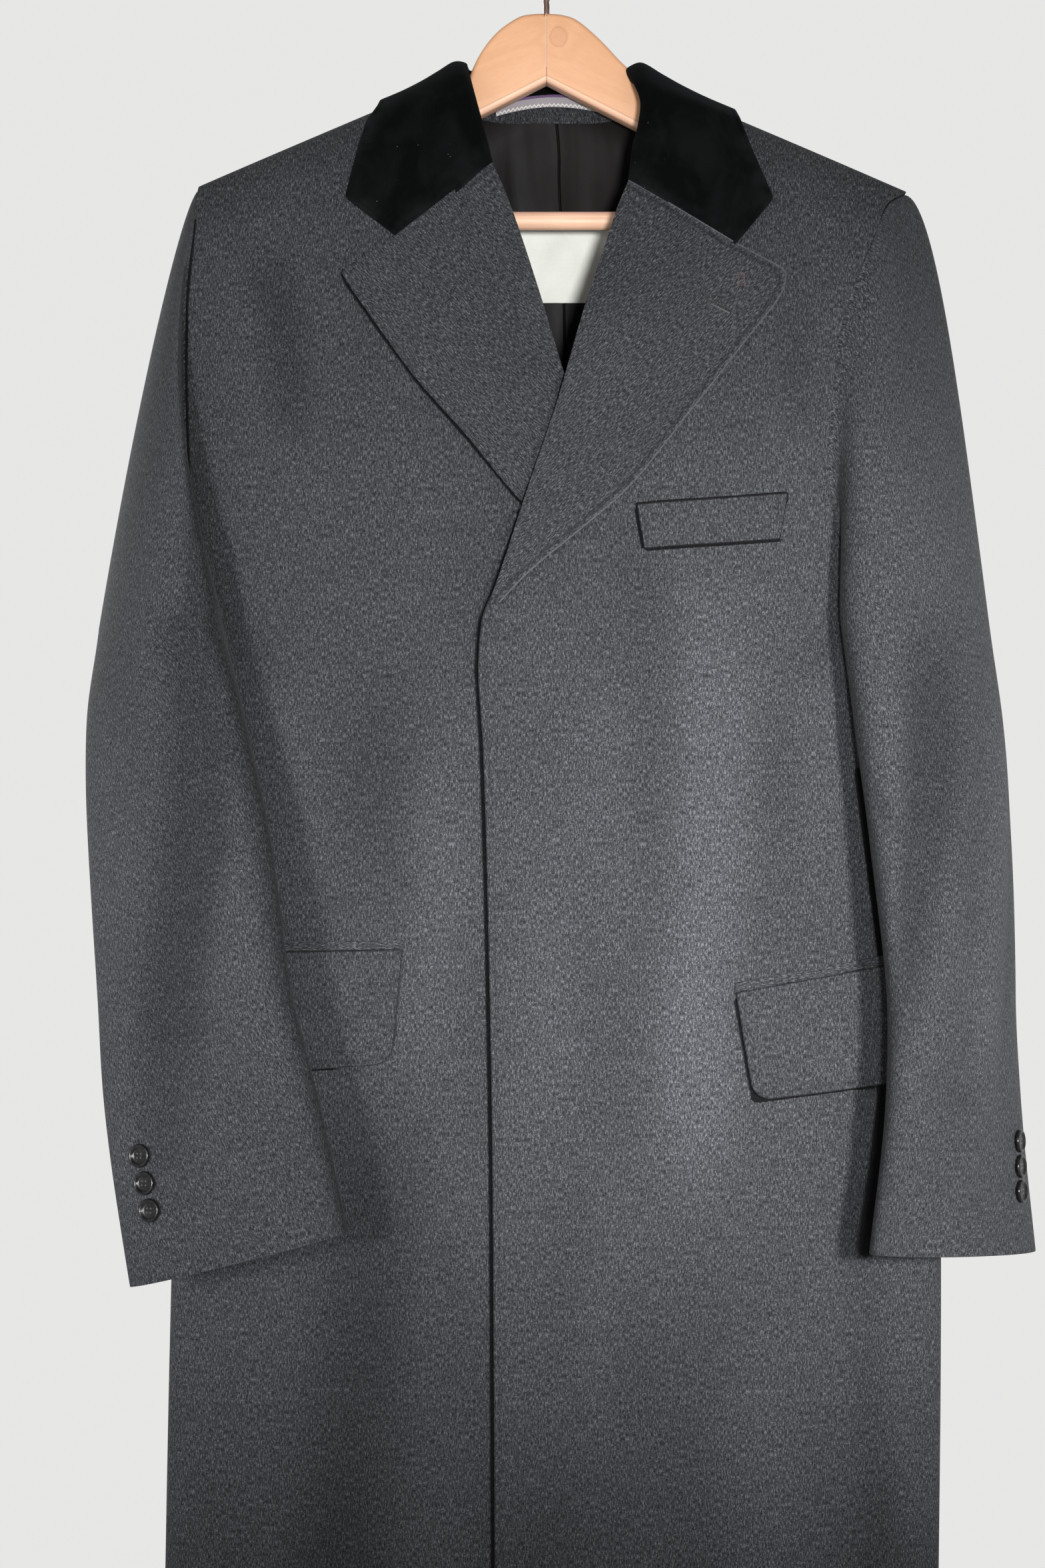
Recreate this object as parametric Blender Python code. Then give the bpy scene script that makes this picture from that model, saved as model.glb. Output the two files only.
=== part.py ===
"""A man's covert coat hanging on a wooden hanger.

Metres, +Z up. The front of the coat faces -Y and +X is on the viewer's right, so the
wearer's left side lies at +X. The origin is the inside top of the hanger's hook, where
the rail holds it.
"""

import math
from collections import namedtuple

import bmesh
import bpy
from mathutils import Matrix, Vector

# ---------------------------------------------------------------- driving dimensions
CLOTH = 0.0018            # wall of the body and sleeves: covert cloth with its interlining
SEAM_GAP = 0.0004         # between neighbouring pieces
LYING_GAP = 0.0006        # under a piece that lies on another

HEM_Z = -1.185            # lower edge of the coat
SHOULDER_PEAK_Z = -0.078  # where the two sloping shoulder lines would meet
SHOULDER_SLOPE = 0.42     # drop of the shoulder line per metre outwards
SHOULDER_ROUND = 0.050    # height over which the shoulder rounds into the chest and back
SECTION_POWER = 2.4       # 2 is an ellipse, more is a squarer body section
MIDDLE_X = 0.006          # middle of the coat, a little right of the hook
BACK_NECK_Z = -0.114      # back neck seam at the centre back
BACK_NECK_CROWDING = 0.65 # how much closer the first rows lie at the back neck
UNDERARM_Z = -0.445

NECK_X = {1: 0.074, -1: -0.070}          # neck point of each shoulder seam
SHOULDER_END_X = {1: 0.235, -1: -0.227}  # end of each shoulder seam

# The body's cross section at a few heights: side seams, depth to the front and back.
Level = namedtuple("Level", "z left_side right_side front back middle")
LEVELS = [
    Level(-0.080, -0.262, 0.262, 0.024, 0.030, -0.010),
    Level(-0.140, -0.262, 0.262, 0.034, 0.036, -0.008),
    Level(-0.200, -0.260, 0.258, 0.046, 0.045, -0.004),
    Level(-0.300, -0.252, 0.245, 0.056, 0.052, 0.000),
    Level(-0.445, -0.234, 0.222, 0.060, 0.056, 0.004),
    Level(-0.600, -0.236, 0.235, 0.057, 0.055, 0.006),
    Level(-0.750, -0.241, 0.250, 0.054, 0.052, 0.006),
    Level(-0.880, -0.246, 0.259, 0.051, 0.049, 0.005),
    Level(-1.185, -0.252, 0.256, 0.046, 0.046, 0.003),
]

# Edges of the panels, from the top down, as x at a height z.
Edge = namedtuple("Edge", "z x")
OVER_FRONT_EDGE = [       # wearer's left: neckline, roll line of the lapel, fly edge
    Edge(-0.1091, 0.074), Edge(-0.125, 0.074), Edge(-0.150, 0.072), Edge(-0.174, 0.067),
    Edge(-0.190, 0.060), Edge(-0.205, 0.049), Edge(-0.232, 0.035), Edge(-0.257, 0.025), Edge(-0.304, 0.011),
    Edge(-0.334, 0.003), Edge(-0.386, -0.016), Edge(-0.433, -0.031), Edge(-0.461, -0.042),
    Edge(-0.490, -0.044), Edge(-0.540, -0.041), Edge(-0.640, -0.038), Edge(-0.812, -0.035),
    Edge(-1.185, -0.033),
]
UNDER_FRONT_EDGE = [      # wearer's right: neckline, roll line, hidden edge under the fly
    Edge(-0.1074, -0.070), Edge(-0.126, -0.066), Edge(-0.150, -0.057), Edge(-0.166, -0.047),
    Edge(-0.200, -0.022), Edge(-0.231, -0.011), Edge(-0.303, 0.011), Edge(-0.350, 0.028),
    Edge(-0.400, 0.045), Edge(-0.461, 0.064), Edge(-0.520, 0.062), Edge(-0.640, 0.059),
    Edge(-1.185, 0.056),
]
Armhole = namedtuple("Armhole", "z front back")
ARMHOLES = {
    1: [Armhole(-0.1767, 0.2350, 0.235), Armhole(-0.187, 0.2210, 0.230),
        Armhole(-0.210, 0.2110, 0.222), Armhole(-0.239, 0.1990, 0.217),
        Armhole(-0.262, 0.1910, 0.214), Armhole(-0.293, 0.1850, 0.212),
        Armhole(-0.358, 0.1810, 0.211), Armhole(-0.395, 0.1850, 0.213),
        Armhole(-0.425, 0.1990, 0.217), Armhole(-0.445, 0.2220, 0.222)],
    -1: [Armhole(-0.1733, -0.2270, -0.227), Armhole(-0.200, -0.2280, -0.221),
         Armhole(-0.250, -0.2330, -0.215), Armhole(-0.300, -0.2340, -0.213),
         Armhole(-0.360, -0.2330, -0.214), Armhole(-0.410, -0.2310, -0.222),
         Armhole(-0.445, -0.2340, -0.234)],
}

# Lapels: points of the outer edge, from the tip down to the break of the roll.
LapelRow = namedtuple("LapelRow", "roll_x roll_z edge_x edge_z")
LAPELS = {
    1: [LapelRow(0.0520, -0.1785, 0.1465, -0.2400), LapelRow(0.0440, -0.198, 0.1455, -0.255),
        LapelRow(0.0345, -0.228, 0.1190, -0.290), LapelRow(0.0220, -0.267, 0.0890, -0.328),
        LapelRow(0.0060, -0.322, 0.0560, -0.371), LapelRow(-0.0110, -0.372, 0.0240, -0.400),
        LapelRow(-0.0270, -0.421, -0.0090, -0.427), LapelRow(-0.0370, -0.449, -0.0300, -0.4485)],
    -1: [LapelRow(-0.0350, -0.1670, -0.1310, -0.2360), LapelRow(-0.0250, -0.190, -0.1270, -0.244),
         LapelRow(-0.0140, -0.222, -0.1070, -0.273), LapelRow(-0.0020, -0.260, -0.0820, -0.307),
         LapelRow(0.0120, -0.306, -0.0510, -0.342), LapelRow(0.0290, -0.352, -0.0160, -0.384),
         LapelRow(0.0470, -0.405, 0.0240, -0.418), LapelRow(0.0600, -0.446, 0.0540, -0.447)],
}
NOTCH = {1: (0.120, -0.2185), -1: (-0.097, -0.2145)}   # where collar and lapel edges part
LAPEL_THICKNESS = 0.0030
LAPEL_GAP = 0.0014
LAPEL_ROLL_HEIGHT = 0.0022   # extra height of the lapel's roll over its outer edge

# How far the wearer's left front stands off the right front that it crosses.
OVERLAP_LIFT_LAPEL = 0.0092
OVERLAP_LIFT_FLY = 0.0050

# Collar: stations from the gorge of the wearer's right, round the back, to the left.
# face -1 is the front of the coat, 0 the shoulder ridge and 1 the back.
Station = namedtuple("Station", "fold_x fold_z fold_face edge_x edge_z edge_face stand")
COLLAR = [
    Station(-0.0350, -0.1660, -1, -0.0970, -0.2135, -1, 0.004),
    Station(-0.0375, -0.1560, -1, -0.1285, -0.1890, -1, 0.005),
    Station(-0.0410, -0.1420, -1, -0.1220, -0.1640, -1, 0.006),
    Station(-0.0455, -0.1240, -1, -0.1150, -0.1410, -1, 0.007),
    Station(-0.0495, -0.1060, -1, -0.1085, -0.1290, -1, 0.007),
    Station(-0.0515, -0.0930, 0, -0.1050, -0.1221, 0, 0.008),
    Station(-0.0500, -0.0915, 1, -0.1010, -0.1300, 1, 0.010),
    Station(-0.0410, -0.0895, 1, -0.0860, -0.1430, 1, 0.015),
    Station(-0.0240, -0.0885, 1, -0.0500, -0.1480, 1, 0.021),
    Station(0.0060, -0.0880, 1, 0.0060, -0.1500, 1, 0.022),
    Station(0.0360, -0.0895, 1, 0.0620, -0.1490, 1, 0.021),
    Station(0.0510, -0.0930, 1, 0.0980, -0.1460, 1, 0.015),
    Station(0.0580, -0.0980, 1, 0.1140, -0.1350, 1, 0.010),
    Station(0.0590, -0.0995, 0, 0.1190, -0.1280, 0, 0.008),
    Station(0.0605, -0.1110, -1, 0.1225, -0.1345, -1, 0.007),
    Station(0.0605, -0.1250, -1, 0.1260, -0.1450, -1, 0.007),
    Station(0.0585, -0.1410, -1, 0.1330, -0.1640, -1, 0.006),
    Station(0.0550, -0.1550, -1, 0.1445, -0.1870, -1, 0.005),
    Station(0.0515, -0.1775, -1, 0.1200, -0.2175, -1, 0.002),
]
COLLAR_THICKNESS = 0.0026

# Sleeves: oval sections, turned so that the long axis runs from the front inner edge
# to the back outer edge. The wearer's left sleeve is at +X.
Ring = namedtuple("Ring", "z x y half_long half_short turn")
SLEEVES = {
    1: [Ring(-0.460, 0.2420, -0.004, 0.078, 0.034, 53), Ring(-0.520, 0.2495, -0.008, 0.078, 0.034, 53),
        Ring(-0.600, 0.2570, -0.014, 0.076, 0.031, 53), Ring(-0.700, 0.2630, -0.022, 0.073, 0.028, 55),
        Ring(-0.760, 0.2640, -0.026, 0.071, 0.026, 51), Ring(-0.868, 0.2650, -0.032, 0.070, 0.024, 41)],
    -1: [Ring(-0.460, -0.2530, -0.004, 0.077, 0.033, 64), Ring(-0.520, -0.2480, -0.020, 0.076, 0.032, 48),
         Ring(-0.600, -0.2370, -0.040, 0.075, 0.029, 36), Ring(-0.700, -0.2250, -0.058, 0.072, 0.026, 28),
         Ring(-0.760, -0.2145, -0.068, 0.071, 0.024, 18), Ring(-0.862, -0.1940, -0.080, 0.0695, 0.021, 5)],
}
CUFF_SLANT = {1: 0.001, -1: 0.018}     # how much lower the back outer end of the cuff hangs
SHOULDER_ANGLE = 145                   # where the shoulder point lies on a sleeve section
UNDERARM_ANGLE = -80                   # where the underarm point lies on it
UNDERARM_RISE = 0.013                  # how far the sleeve leaves the armhole at the underarm
CAP_RISE = {1: 0.020, -1: 0.009}       # and at the shoulder
CAP_DROP = (0.006, 0.150)              # its run into the first ring below, at both places
CAP_LEAN = {1: 0.13, -1: 0.165}         # inward lean of the cap above that ring
ARMHOLE_GAP = 0.0008
SLEEVE_CLEARANCE = 0.006               # between the sleeves and the body

# The largest folds, from the top down. A fold's height is out of the cloth, below zero
# for a trough. Its place is x on the body and the angle on a sleeve's section; its width
# is half its full width, in the same unit.
FoldPoint = namedtuple("FoldPoint", "z place height")
Fold = namedtuple("Fold", "width points")
BODY_FOLDS = {
    -1: [Fold(0.050, [FoldPoint(-0.40, 0.086, 0.0), FoldPoint(-0.55, 0.086, 0.0045),
                      FoldPoint(-0.70, 0.082, 0.0040), FoldPoint(-0.90, 0.094, 0.0)]),
         Fold(0.045, [FoldPoint(-0.46, -0.112, 0.0), FoldPoint(-0.56, -0.114, -0.0025),
                      FoldPoint(-0.66, -0.110, 0.0)]),
         Fold(0.050, [FoldPoint(-0.72, -0.102, 0.0), FoldPoint(-0.86, -0.114, -0.0035),
                      FoldPoint(-1.185, -0.140, -0.0045)]),
         Fold(0.050, [FoldPoint(-0.88, 0.140, 0.0), FoldPoint(-1.02, 0.146, 0.0030),
                      FoldPoint(-1.185, 0.152, 0.0045)])],
    1: [Fold(0.055, [FoldPoint(-0.36, -0.115, 0.0), FoldPoint(-0.56, -0.110, -0.0040),
                     FoldPoint(-0.80, -0.122, -0.0020), FoldPoint(-1.185, -0.130, -0.0050)]),
        Fold(0.050, [FoldPoint(-0.42, 0.085, 0.0), FoldPoint(-0.62, 0.092, 0.0040),
                     FoldPoint(-0.90, 0.100, 0.0)]),
        Fold(0.050, [FoldPoint(-0.78, 0.160, 0.0), FoldPoint(-1.00, 0.152, -0.0040),
                     FoldPoint(-1.185, 0.148, -0.0050)]),
        Fold(0.050, [FoldPoint(-0.86, -0.050, 0.0), FoldPoint(-1.185, -0.056, 0.0040)])],
}
SLEEVE_FOLDS = {
    1: [Fold(34, [FoldPoint(-0.440, 64, 0.0), FoldPoint(-0.515, 58, -0.0045),
                  FoldPoint(-0.600, 42, -0.0050), FoldPoint(-0.665, 20, -0.0040),
                  FoldPoint(-0.730, 0, 0.0)]),
        Fold(36, [FoldPoint(-0.560, -120, 0.0), FoldPoint(-0.660, -110, -0.0040),
                  FoldPoint(-0.800, -98, 0.0)])],
    -1: [Fold(34, [FoldPoint(-0.455, 26, -0.0030), FoldPoint(-0.520, 38, -0.0055),
                   FoldPoint(-0.640, 74, -0.0050), FoldPoint(-0.765, 108, -0.0030),
                   FoldPoint(-0.840, 118, 0.0)]),
         Fold(36, [FoldPoint(-0.540, -130, 0.0), FoldPoint(-0.640, -116, -0.0040),
                   FoldPoint(-0.780, -100, 0.0)])],
}

# Pockets: corners on the front, from the top inner corner round to the bottom inner one.
Corner = namedtuple("Corner", "x z")
BREAST_WELT = [Corner(0.056, -0.386), Corner(0.154, -0.377),
               Corner(0.149, -0.407), Corner(0.061, -0.4145)]
FLAPS = {
    1: [Corner(0.120, -0.6965), Corner(0.226, -0.6790),
        Corner(0.229, -0.7560), Corner(0.132, -0.7665)],
    -1: [Corner(-0.092, -0.6690), Corner(-0.214, -0.6720),
         Corner(-0.218, -0.7520), Corner(-0.099, -0.7425)],
}
FLAP_THICKNESS = 0.0028
WELT_THICKNESS = 0.0020
FLAP_CORNER = 0.012
FLAP_GAP = 0.0006
WELT_GAP = 0.0014         # the front is a little hollow under the welt

# Inside the neck.
LINING_THICKNESS = 0.0010
LABEL_GAP = 0.0014
LABEL_THICKNESS = 0.0006
LOOP_GAP = 0.0012
LOOP_THICKNESS = 0.0012
LABEL = {"width": 0.080, "top": -0.176, "bottom": -0.2400, "x": 0.012}
LOOP = {"half_length": 0.040, "rise": 0.0085, "width": 0.0085, "z": -0.1175}

# Buttons.
BUTTON_RADIUS = 0.0075
BUTTON_THICKNESS = 0.0032
BUTTON_RIM = 0.0012
BUTTON_SHANK = {1: 0.0004, -1: 0.0}   # off the smooth sleeve; its facets lie inside it
BUTTON_ANGLE = {1: 125, -1: 129}
BUTTON_HEIGHTS = {1: (-0.793, -0.809, -0.825), -1: (-0.7880, -0.8040, -0.8200)}

# Hanger.
WOOD_THICKNESS = 0.016
WOOD_EDGE = 0.0022
ARM_END_X = 0.208
ARM_FORWARD = 0.045       # how much the arms run forward per metre outwards
ARM_LOWER_Z = -0.105      # underside of the arms at the middle
ARM_LOWER_SLOPE = 0.52
DOME_TOP_Z = -0.060
BAR_RADIUS = 0.006
BAR_Z = -0.196
BAR_HALF = 0.186
BAR_CLEARANCE = 0.0003
HOOK_WIRE = 0.002
HOOK_RADIUS = 0.021

BODY_ROWS_ABOVE_UNDERARM = 9
BODY_ROWS_BELOW_UNDERARM = 13
FRONT_COLUMNS = 9
BACK_COLUMNS = 8
NECK_COLUMNS = 3           # back columns that lie within the neck
CAP_RINGS = 6
SLEEVE_RINGS = 11
FORE_SEAM = 8             # ring points where the sleeve's two pieces meet
HIND_SEAM = 16


# ---------------------------------------------------------------- small helpers
def clamp(value, low=0.0, high=1.0):
    return max(low, min(high, value))


def smooth(start, end, value):
    """0 at start, 1 at end, with level ends."""
    part = clamp((value - start) / (end - start))
    return part * part * (3.0 - 2.0 * part)


def mix(first, second, part):
    return first + (second - first) * part


def read(rows, column, z):
    """A column of a table at height z, on a smooth curve without overshoot."""
    heights = [row.z for row in rows]
    values = [getattr(row, column) for row in rows]
    if z >= heights[0]:
        return values[0]
    if z <= heights[-1]:
        return values[-1]
    last = len(rows) - 2
    slopes = [(values[i + 1] - values[i]) / (heights[i + 1] - heights[i]) for i in range(last + 1)]
    index = next(i for i in range(last + 1) if z >= heights[i + 1])

    def tangent(i):
        if i == 0:
            return slopes[0]
        if i == last + 1:
            return slopes[last]
        before, after = slopes[i - 1], slopes[i]
        if before * after <= 0.0:
            return 0.0
        return 2.0 * before * after / (before + after)

    span = heights[index + 1] - heights[index]
    part = (z - heights[index]) / span
    square, cube = part * part, part ** 3
    return ((2 * cube - 3 * square + 1) * values[index]
            + (cube - 2 * square + part) * span * tangent(index)
            + (3 * square - 2 * cube) * values[index + 1]
            + (cube - square) * span * tangent(index + 1))


def fold_height(folds, place, z, turn=None):
    """Sum of the folds at a place; turn is the whole turn of a place that is an angle."""
    height = 0.0
    for fold in folds:
        away = place - read(fold.points, "place", z)
        if turn:
            away = (away + turn / 2) % turn - turn / 2
        part = away / fold.width
        if abs(part) < 1.0 and fold.points[0].z > z:
            height += read(fold.points, "height", z) * (1.0 - part * part) ** 2
    return height


# ---------------------------------------------------------------- the body's surface
def ridge_z(x):
    """Height of the shoulder line."""
    return SHOULDER_PEAK_Z - SHOULDER_SLOPE * abs(x)


def side_x(side, z):
    return read(LEVELS, "right_side" if side > 0 else "left_side", z)


def side_fall(x, z):
    """1 at the middle of the body, 0 at the side seam."""
    side = 1 if x >= MIDDLE_X else -1
    part = (x - MIDDLE_X) / (side_x(side, z) - MIDDLE_X)
    return (1.0 - clamp(part) ** SECTION_POWER) ** (1.0 / SECTION_POWER)


def shoulder_fall(x, z):
    """0 on the shoulder line, 1 once the shoulder has rounded over."""
    drop = clamp((ridge_z(x) - z) / SHOULDER_ROUND)
    return math.sqrt(1.0 - (1.0 - drop) ** 2)


def overlap_lift(x, z):
    """Extra depth of the wearer's left front where it crosses the right front."""
    height = mix(OVERLAP_LIFT_LAPEL, OVERLAP_LIFT_FLY, smooth(-0.440, -0.520, z))
    return height * smooth(0.125, 0.068, x) * smooth(-0.215, -0.285, z)


def body_y(face, x, z):
    """Depth of the body's outer surface, face -1 in front and 1 behind."""
    depth = read(LEVELS, "front" if face < 0 else "back", z)
    depth += fold_height(BODY_FOLDS[face], x, z)
    return read(LEVELS, "middle", z) + face * depth * side_fall(x, z) * shoulder_fall(x, z)


def ridge_normal(x):
    return Vector((math.copysign(SHOULDER_SLOPE, x), 0.0, 1.0)).normalized()


def body_point(face, x, z, lifted=False):
    """A point of the body's outer surface and the outward direction there."""
    if face == 0:
        top = ridge_z(x)
        return Vector((x, read(LEVELS, "middle", top), top)), ridge_normal(x)
    step = 0.0006
    drop = ridge_z(x) - z

    def at(px, pz):
        y = body_y(face, px, pz)
        if lifted:
            y -= overlap_lift(px, pz)
        return Vector((px, y, pz))

    sink = max(drop, 2 * step)
    here = at(x, ridge_z(x) - sink)
    across = at(x + step, ridge_z(x + step) - sink) - at(x - step, ridge_z(x - step) - sink)
    down = at(x, ridge_z(x) - sink - step) - at(x, ridge_z(x) - sink + step)
    normal = across.cross(down).normalized() * (1 if face > 0 else -1)
    if normal.y * face < 0:
        normal = -normal
    if drop < 2 * step:
        here = at(x, z)
    return here, normal


# ---------------------------------------------------------------- grids and sheets
def grid_normals(grid, wrap=False):
    """Unit normals of a grid of points, by the directions to the neighbours."""
    rows, columns = len(grid), len(grid[0])
    normals = []
    for r in range(rows):
        line = []
        for c in range(columns):
            if wrap:
                along = grid[r][(c + 1) % columns] - grid[r][c - 1]
            else:
                along = grid[r][min(c + 1, columns - 1)] - grid[r][max(c - 1, 0)]
            down = grid[min(r + 1, rows - 1)][c] - grid[max(r - 1, 0)][c]
            line.append(along.cross(down).normalized())
        normals.append(line)
    return normals


def pull_edges(outer, inner, left=0.0, right=0.0, top=0.0, bottom=0.0):
    """Move a sheet's edges inwards, along the sheet, to leave the seam gaps."""
    def pull(lines, fixed, moving, amount):
        step = (lines[fixed[0]][fixed[1]] - lines[moving[0]][moving[1]]).normalized() * amount
        return lines[moving[0]][moving[1]] + step

    rows, columns = len(outer), len(outer[0])
    for lines in (outer, inner):
        if left:
            for r in range(rows):
                lines[r][0] = pull(lines, (r, 1), (r, 0), left)
        if right:
            for r in range(rows):
                lines[r][-1] = pull(lines, (r, columns - 2), (r, columns - 1), right)
        if top:
            for c in range(columns):
                lines[0][c] = pull(lines, (1, c), (0, c), top)
        if bottom:
            for c in range(columns):
                lines[-1][c] = pull(lines, (rows - 2, c), (rows - 1, c), bottom)


def new_object(name, mesh, material, parts):
    piece = bpy.data.objects.new(name, mesh)
    mesh.materials.append(material)
    parts.objects.link(piece)
    return piece


def sheet(name, outer, inner, material, parts):
    """A closed wall of cloth between two grids of points, an outer and an inner one."""
    rows, columns = len(outer), len(outer[0])
    shell = bmesh.new()
    near = [[shell.verts.new(point) for point in line] for line in outer]
    far = [[shell.verts.new(point) for point in line] for line in inner]

    def quad(a, b, c, d):
        shell.faces.new((a, b, c, d))

    for r in range(rows - 1):
        for c in range(columns - 1):
            quad(near[r][c], near[r + 1][c], near[r + 1][c + 1], near[r][c + 1])
            quad(far[r][c], far[r][c + 1], far[r + 1][c + 1], far[r + 1][c])
    for r in range(rows - 1):
        quad(near[r][0], far[r][0], far[r + 1][0], near[r + 1][0])
        quad(near[r][-1], near[r + 1][-1], far[r + 1][-1], far[r][-1])
    for c in range(columns - 1):
        quad(near[0][c], near[0][c + 1], far[0][c + 1], far[0][c])
        quad(near[-1][c], far[-1][c], far[-1][c + 1], near[-1][c + 1])
    bmesh.ops.triangulate(shell, faces=shell.faces, quad_method="SHORT_EDGE")
    bmesh.ops.recalc_face_normals(shell, faces=shell.faces)
    mesh = bpy.data.meshes.new(name)
    shell.to_mesh(mesh)
    shell.free()
    mesh.shade_smooth()
    mesh.set_sharp_from_angle(angle=math.radians(50))
    return new_object(name, mesh, material, parts)


def moved(grid, normals, heights):
    """The grid moved along its normals; heights is a number or a function of row, column."""
    lines = []
    for r, line in enumerate(grid):
        moved_line = []
        for c, point in enumerate(line):
            height = heights(r, c) if callable(heights) else heights
            moved_line.append(point + normals[r][c] * height)
        lines.append(moved_line)
    return lines


# ---------------------------------------------------------------- body panels
def row_levels(side):
    """Heights of the rows of a body panel, at its inner edge and at its outer edge."""
    neck = ridge_z(NECK_X[side])
    end = ridge_z(SHOULDER_END_X[side])
    rows = []
    for step in range(5):
        drop = SHOULDER_ROUND * (1.0 - math.cos(math.radians(22.5 * step)))
        rows.append((neck - drop, end - drop))
    top_inner, top_outer = rows[-1]
    steps = BODY_ROWS_ABOVE_UNDERARM - 4
    for step in range(1, steps + 1):
        part = step / steps
        rows.append((mix(top_inner, UNDERARM_Z + 0.025, part), mix(top_outer, UNDERARM_Z, part)))
    for step in range(1, BODY_ROWS_BELOW_UNDERARM + 1):
        part = step / BODY_ROWS_BELOW_UNDERARM
        outer = mix(UNDERARM_Z, HEM_Z, part)
        rows.append((outer + 0.025 * (1.0 - smooth(0.0, 0.25, part)), outer))
    return rows


def outer_edge_x(side, face, z):
    """Armhole edge above the underarm, side seam below it."""
    if z < UNDERARM_Z - 1e-6:
        return side_x(side, z)
    return read(ARMHOLES[side], "front" if face < 0 else "back", z)


def section_angle(side, x, z):
    part = clamp(abs(x - MIDDLE_X) / abs(side_x(side, z) - MIDDLE_X))
    return math.asin(part ** (SECTION_POWER / 2.0)) * (1 if (x - MIDDLE_X) * side >= 0 else -1)


def section_x(side, angle, z):
    reach = abs(math.sin(angle)) ** (2.0 / SECTION_POWER)
    reach *= 1 if angle >= 0 else -1
    return MIDDLE_X + reach * (side_x(side, z) - MIDDLE_X)


def panel_grid(side, face, inner_x, columns, lifted=False):
    """Rows of points across a panel, from its inner edge to its armhole or side seam."""
    grid = []
    for index, (inner_z, outer_z) in enumerate(row_levels(side)):
        if face > 0:
            inner_z = min(inner_z, BACK_NECK_Z - 0.0001)
            if index < 5:
                drop = ridge_z(NECK_X[side]) - row_levels(side)[index][0]
                inner_z = BACK_NECK_Z - drop * BACK_NECK_CROWDING
        start = section_angle(side, inner_x(inner_z), outer_z)
        end_x = outer_edge_x(side, face, outer_z)
        end = section_angle(side, end_x, outer_z)
        line = []
        for column in range(columns + 1):
            angle = mix(start, end, column / columns)
            if face > 0:
                angle = mix(angle, necked_angle(side, column, columns, end, outer_z),
                            neck_follow(side, index))
            x = section_x(side, angle, outer_z)
            if column == columns:
                x = end_x
            if column == 0:
                x = inner_x(inner_z)
            across = (x - inner_x(inner_z)) / (end_x - inner_x(inner_z))
            z = mix(inner_z, outer_z, across)
            if face > 0:
                z = back_row_z(side, index, x, z)
            y = body_y(face, x, z)
            if lifted:
                y -= overlap_lift(x, z)
            line.append(Vector((x, y, z)))
        grid.append(line)
    return grid


def neck_follow(side, index):
    """1 for the row along the neck and the shoulder, 0 a hand's width below."""
    levels = row_levels(side)
    return 1.0 - smooth(0.02, 0.16, levels[0][0] - levels[index][0])


def necked_angle(side, column, columns, end, z):
    """Place of a column that keeps NECK_COLUMNS of them within the neck."""
    neck = section_angle(side, NECK_X[side], z)
    if column <= NECK_COLUMNS:
        return neck * column / NECK_COLUMNS
    return mix(neck, end, (column - NECK_COLUMNS) / (columns - NECK_COLUMNS))


def back_row_z(side, index, x, z):
    """The back's upper rows follow the neck curve and the shoulder line."""
    drop = row_levels(side)[0][0] - row_levels(side)[index][0]
    neck = abs(NECK_X[side])
    if abs(x) < neck:
        top = mix(BACK_NECK_Z, ridge_z(neck), smooth(0.35 * neck, neck, abs(x)))
    else:
        top = ridge_z(x)
    return mix(z, top - drop * BACK_NECK_CROWDING, neck_follow(side, index))


def panel_normals(grid, side, face):
    """Outward normals of a body panel; both panels of a seam share those along it."""
    normals = grid_normals(grid)
    for r, line in enumerate(normals):
        for c, normal in enumerate(line):
            if normal.y * face < 0:
                line[c] = -normal
        if face > 0:
            line[0].x = 0.0
            line[0].normalize()
        if r >= BODY_ROWS_ABOVE_UNDERARM:
            line[-1] = Vector((side, 0.0, 0.0))
        if r == 0:
            for c, point in enumerate(grid[0]):
                if abs(point.x) >= abs(NECK_X[side]) - 0.001:
                    line[c] = ridge_normal(point.x)
    return normals


def panel(name, side, face, inner_x, columns, material, parts, lifted=False):
    grid = panel_grid(side, face, inner_x, columns, lifted)
    normals = panel_normals(grid, side, face)
    outer = [list(line) for line in grid]
    inner = moved(grid, normals, -CLOTH)
    pull_edges(outer, inner, left=SEAM_GAP / 2, right=SEAM_GAP / 2, top=SEAM_GAP / 2)
    return sheet(name, outer, inner, material, parts)


def fronts(cloth, parts):
    panel("front_left", 1, -1, lambda z: read(OVER_FRONT_EDGE, "x", z), FRONT_COLUMNS,
          cloth, parts, lifted=True)
    panel("front_right", -1, -1, lambda z: read(UNDER_FRONT_EDGE, "x", z), FRONT_COLUMNS,
          cloth, parts)


def backs(cloth, parts):
    for side, name in ((1, "back_left"), (-1, "back_right")):
        panel(name, side, 1, lambda z: MIDDLE_X, BACK_COLUMNS, cloth, parts)


# ---------------------------------------------------------------- sleeves
def sleeve_point(side, ring, angle):
    """A point of a sleeve's oval section."""
    turn = math.radians(ring.turn)
    lengthwise = Vector((-side * math.cos(turn), -math.sin(turn), 0.0))
    outwards = Vector((side * math.sin(turn), -math.cos(turn), 0.0))
    slant = CUFF_SLANT[side] * smooth(-0.60, -0.86, ring.z) * math.cos(angle)
    point = Vector((ring.x, ring.y, ring.z + slant))
    point += lengthwise * (ring.half_long * math.cos(angle))
    point += outwards * (ring.half_short * math.sin(angle))
    normal = (lengthwise * (ring.half_short * math.cos(angle))
              + outwards * (ring.half_long * math.sin(angle))).normalized()
    return point + normal * fold_height(SLEEVE_FOLDS[side], math.degrees(angle), ring.z, 360)


def ring_at(side, z):
    rings = SLEEVES[side]
    return Ring(z, *(read(rings, column, z) for column in Ring._fields[1:]))


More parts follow.
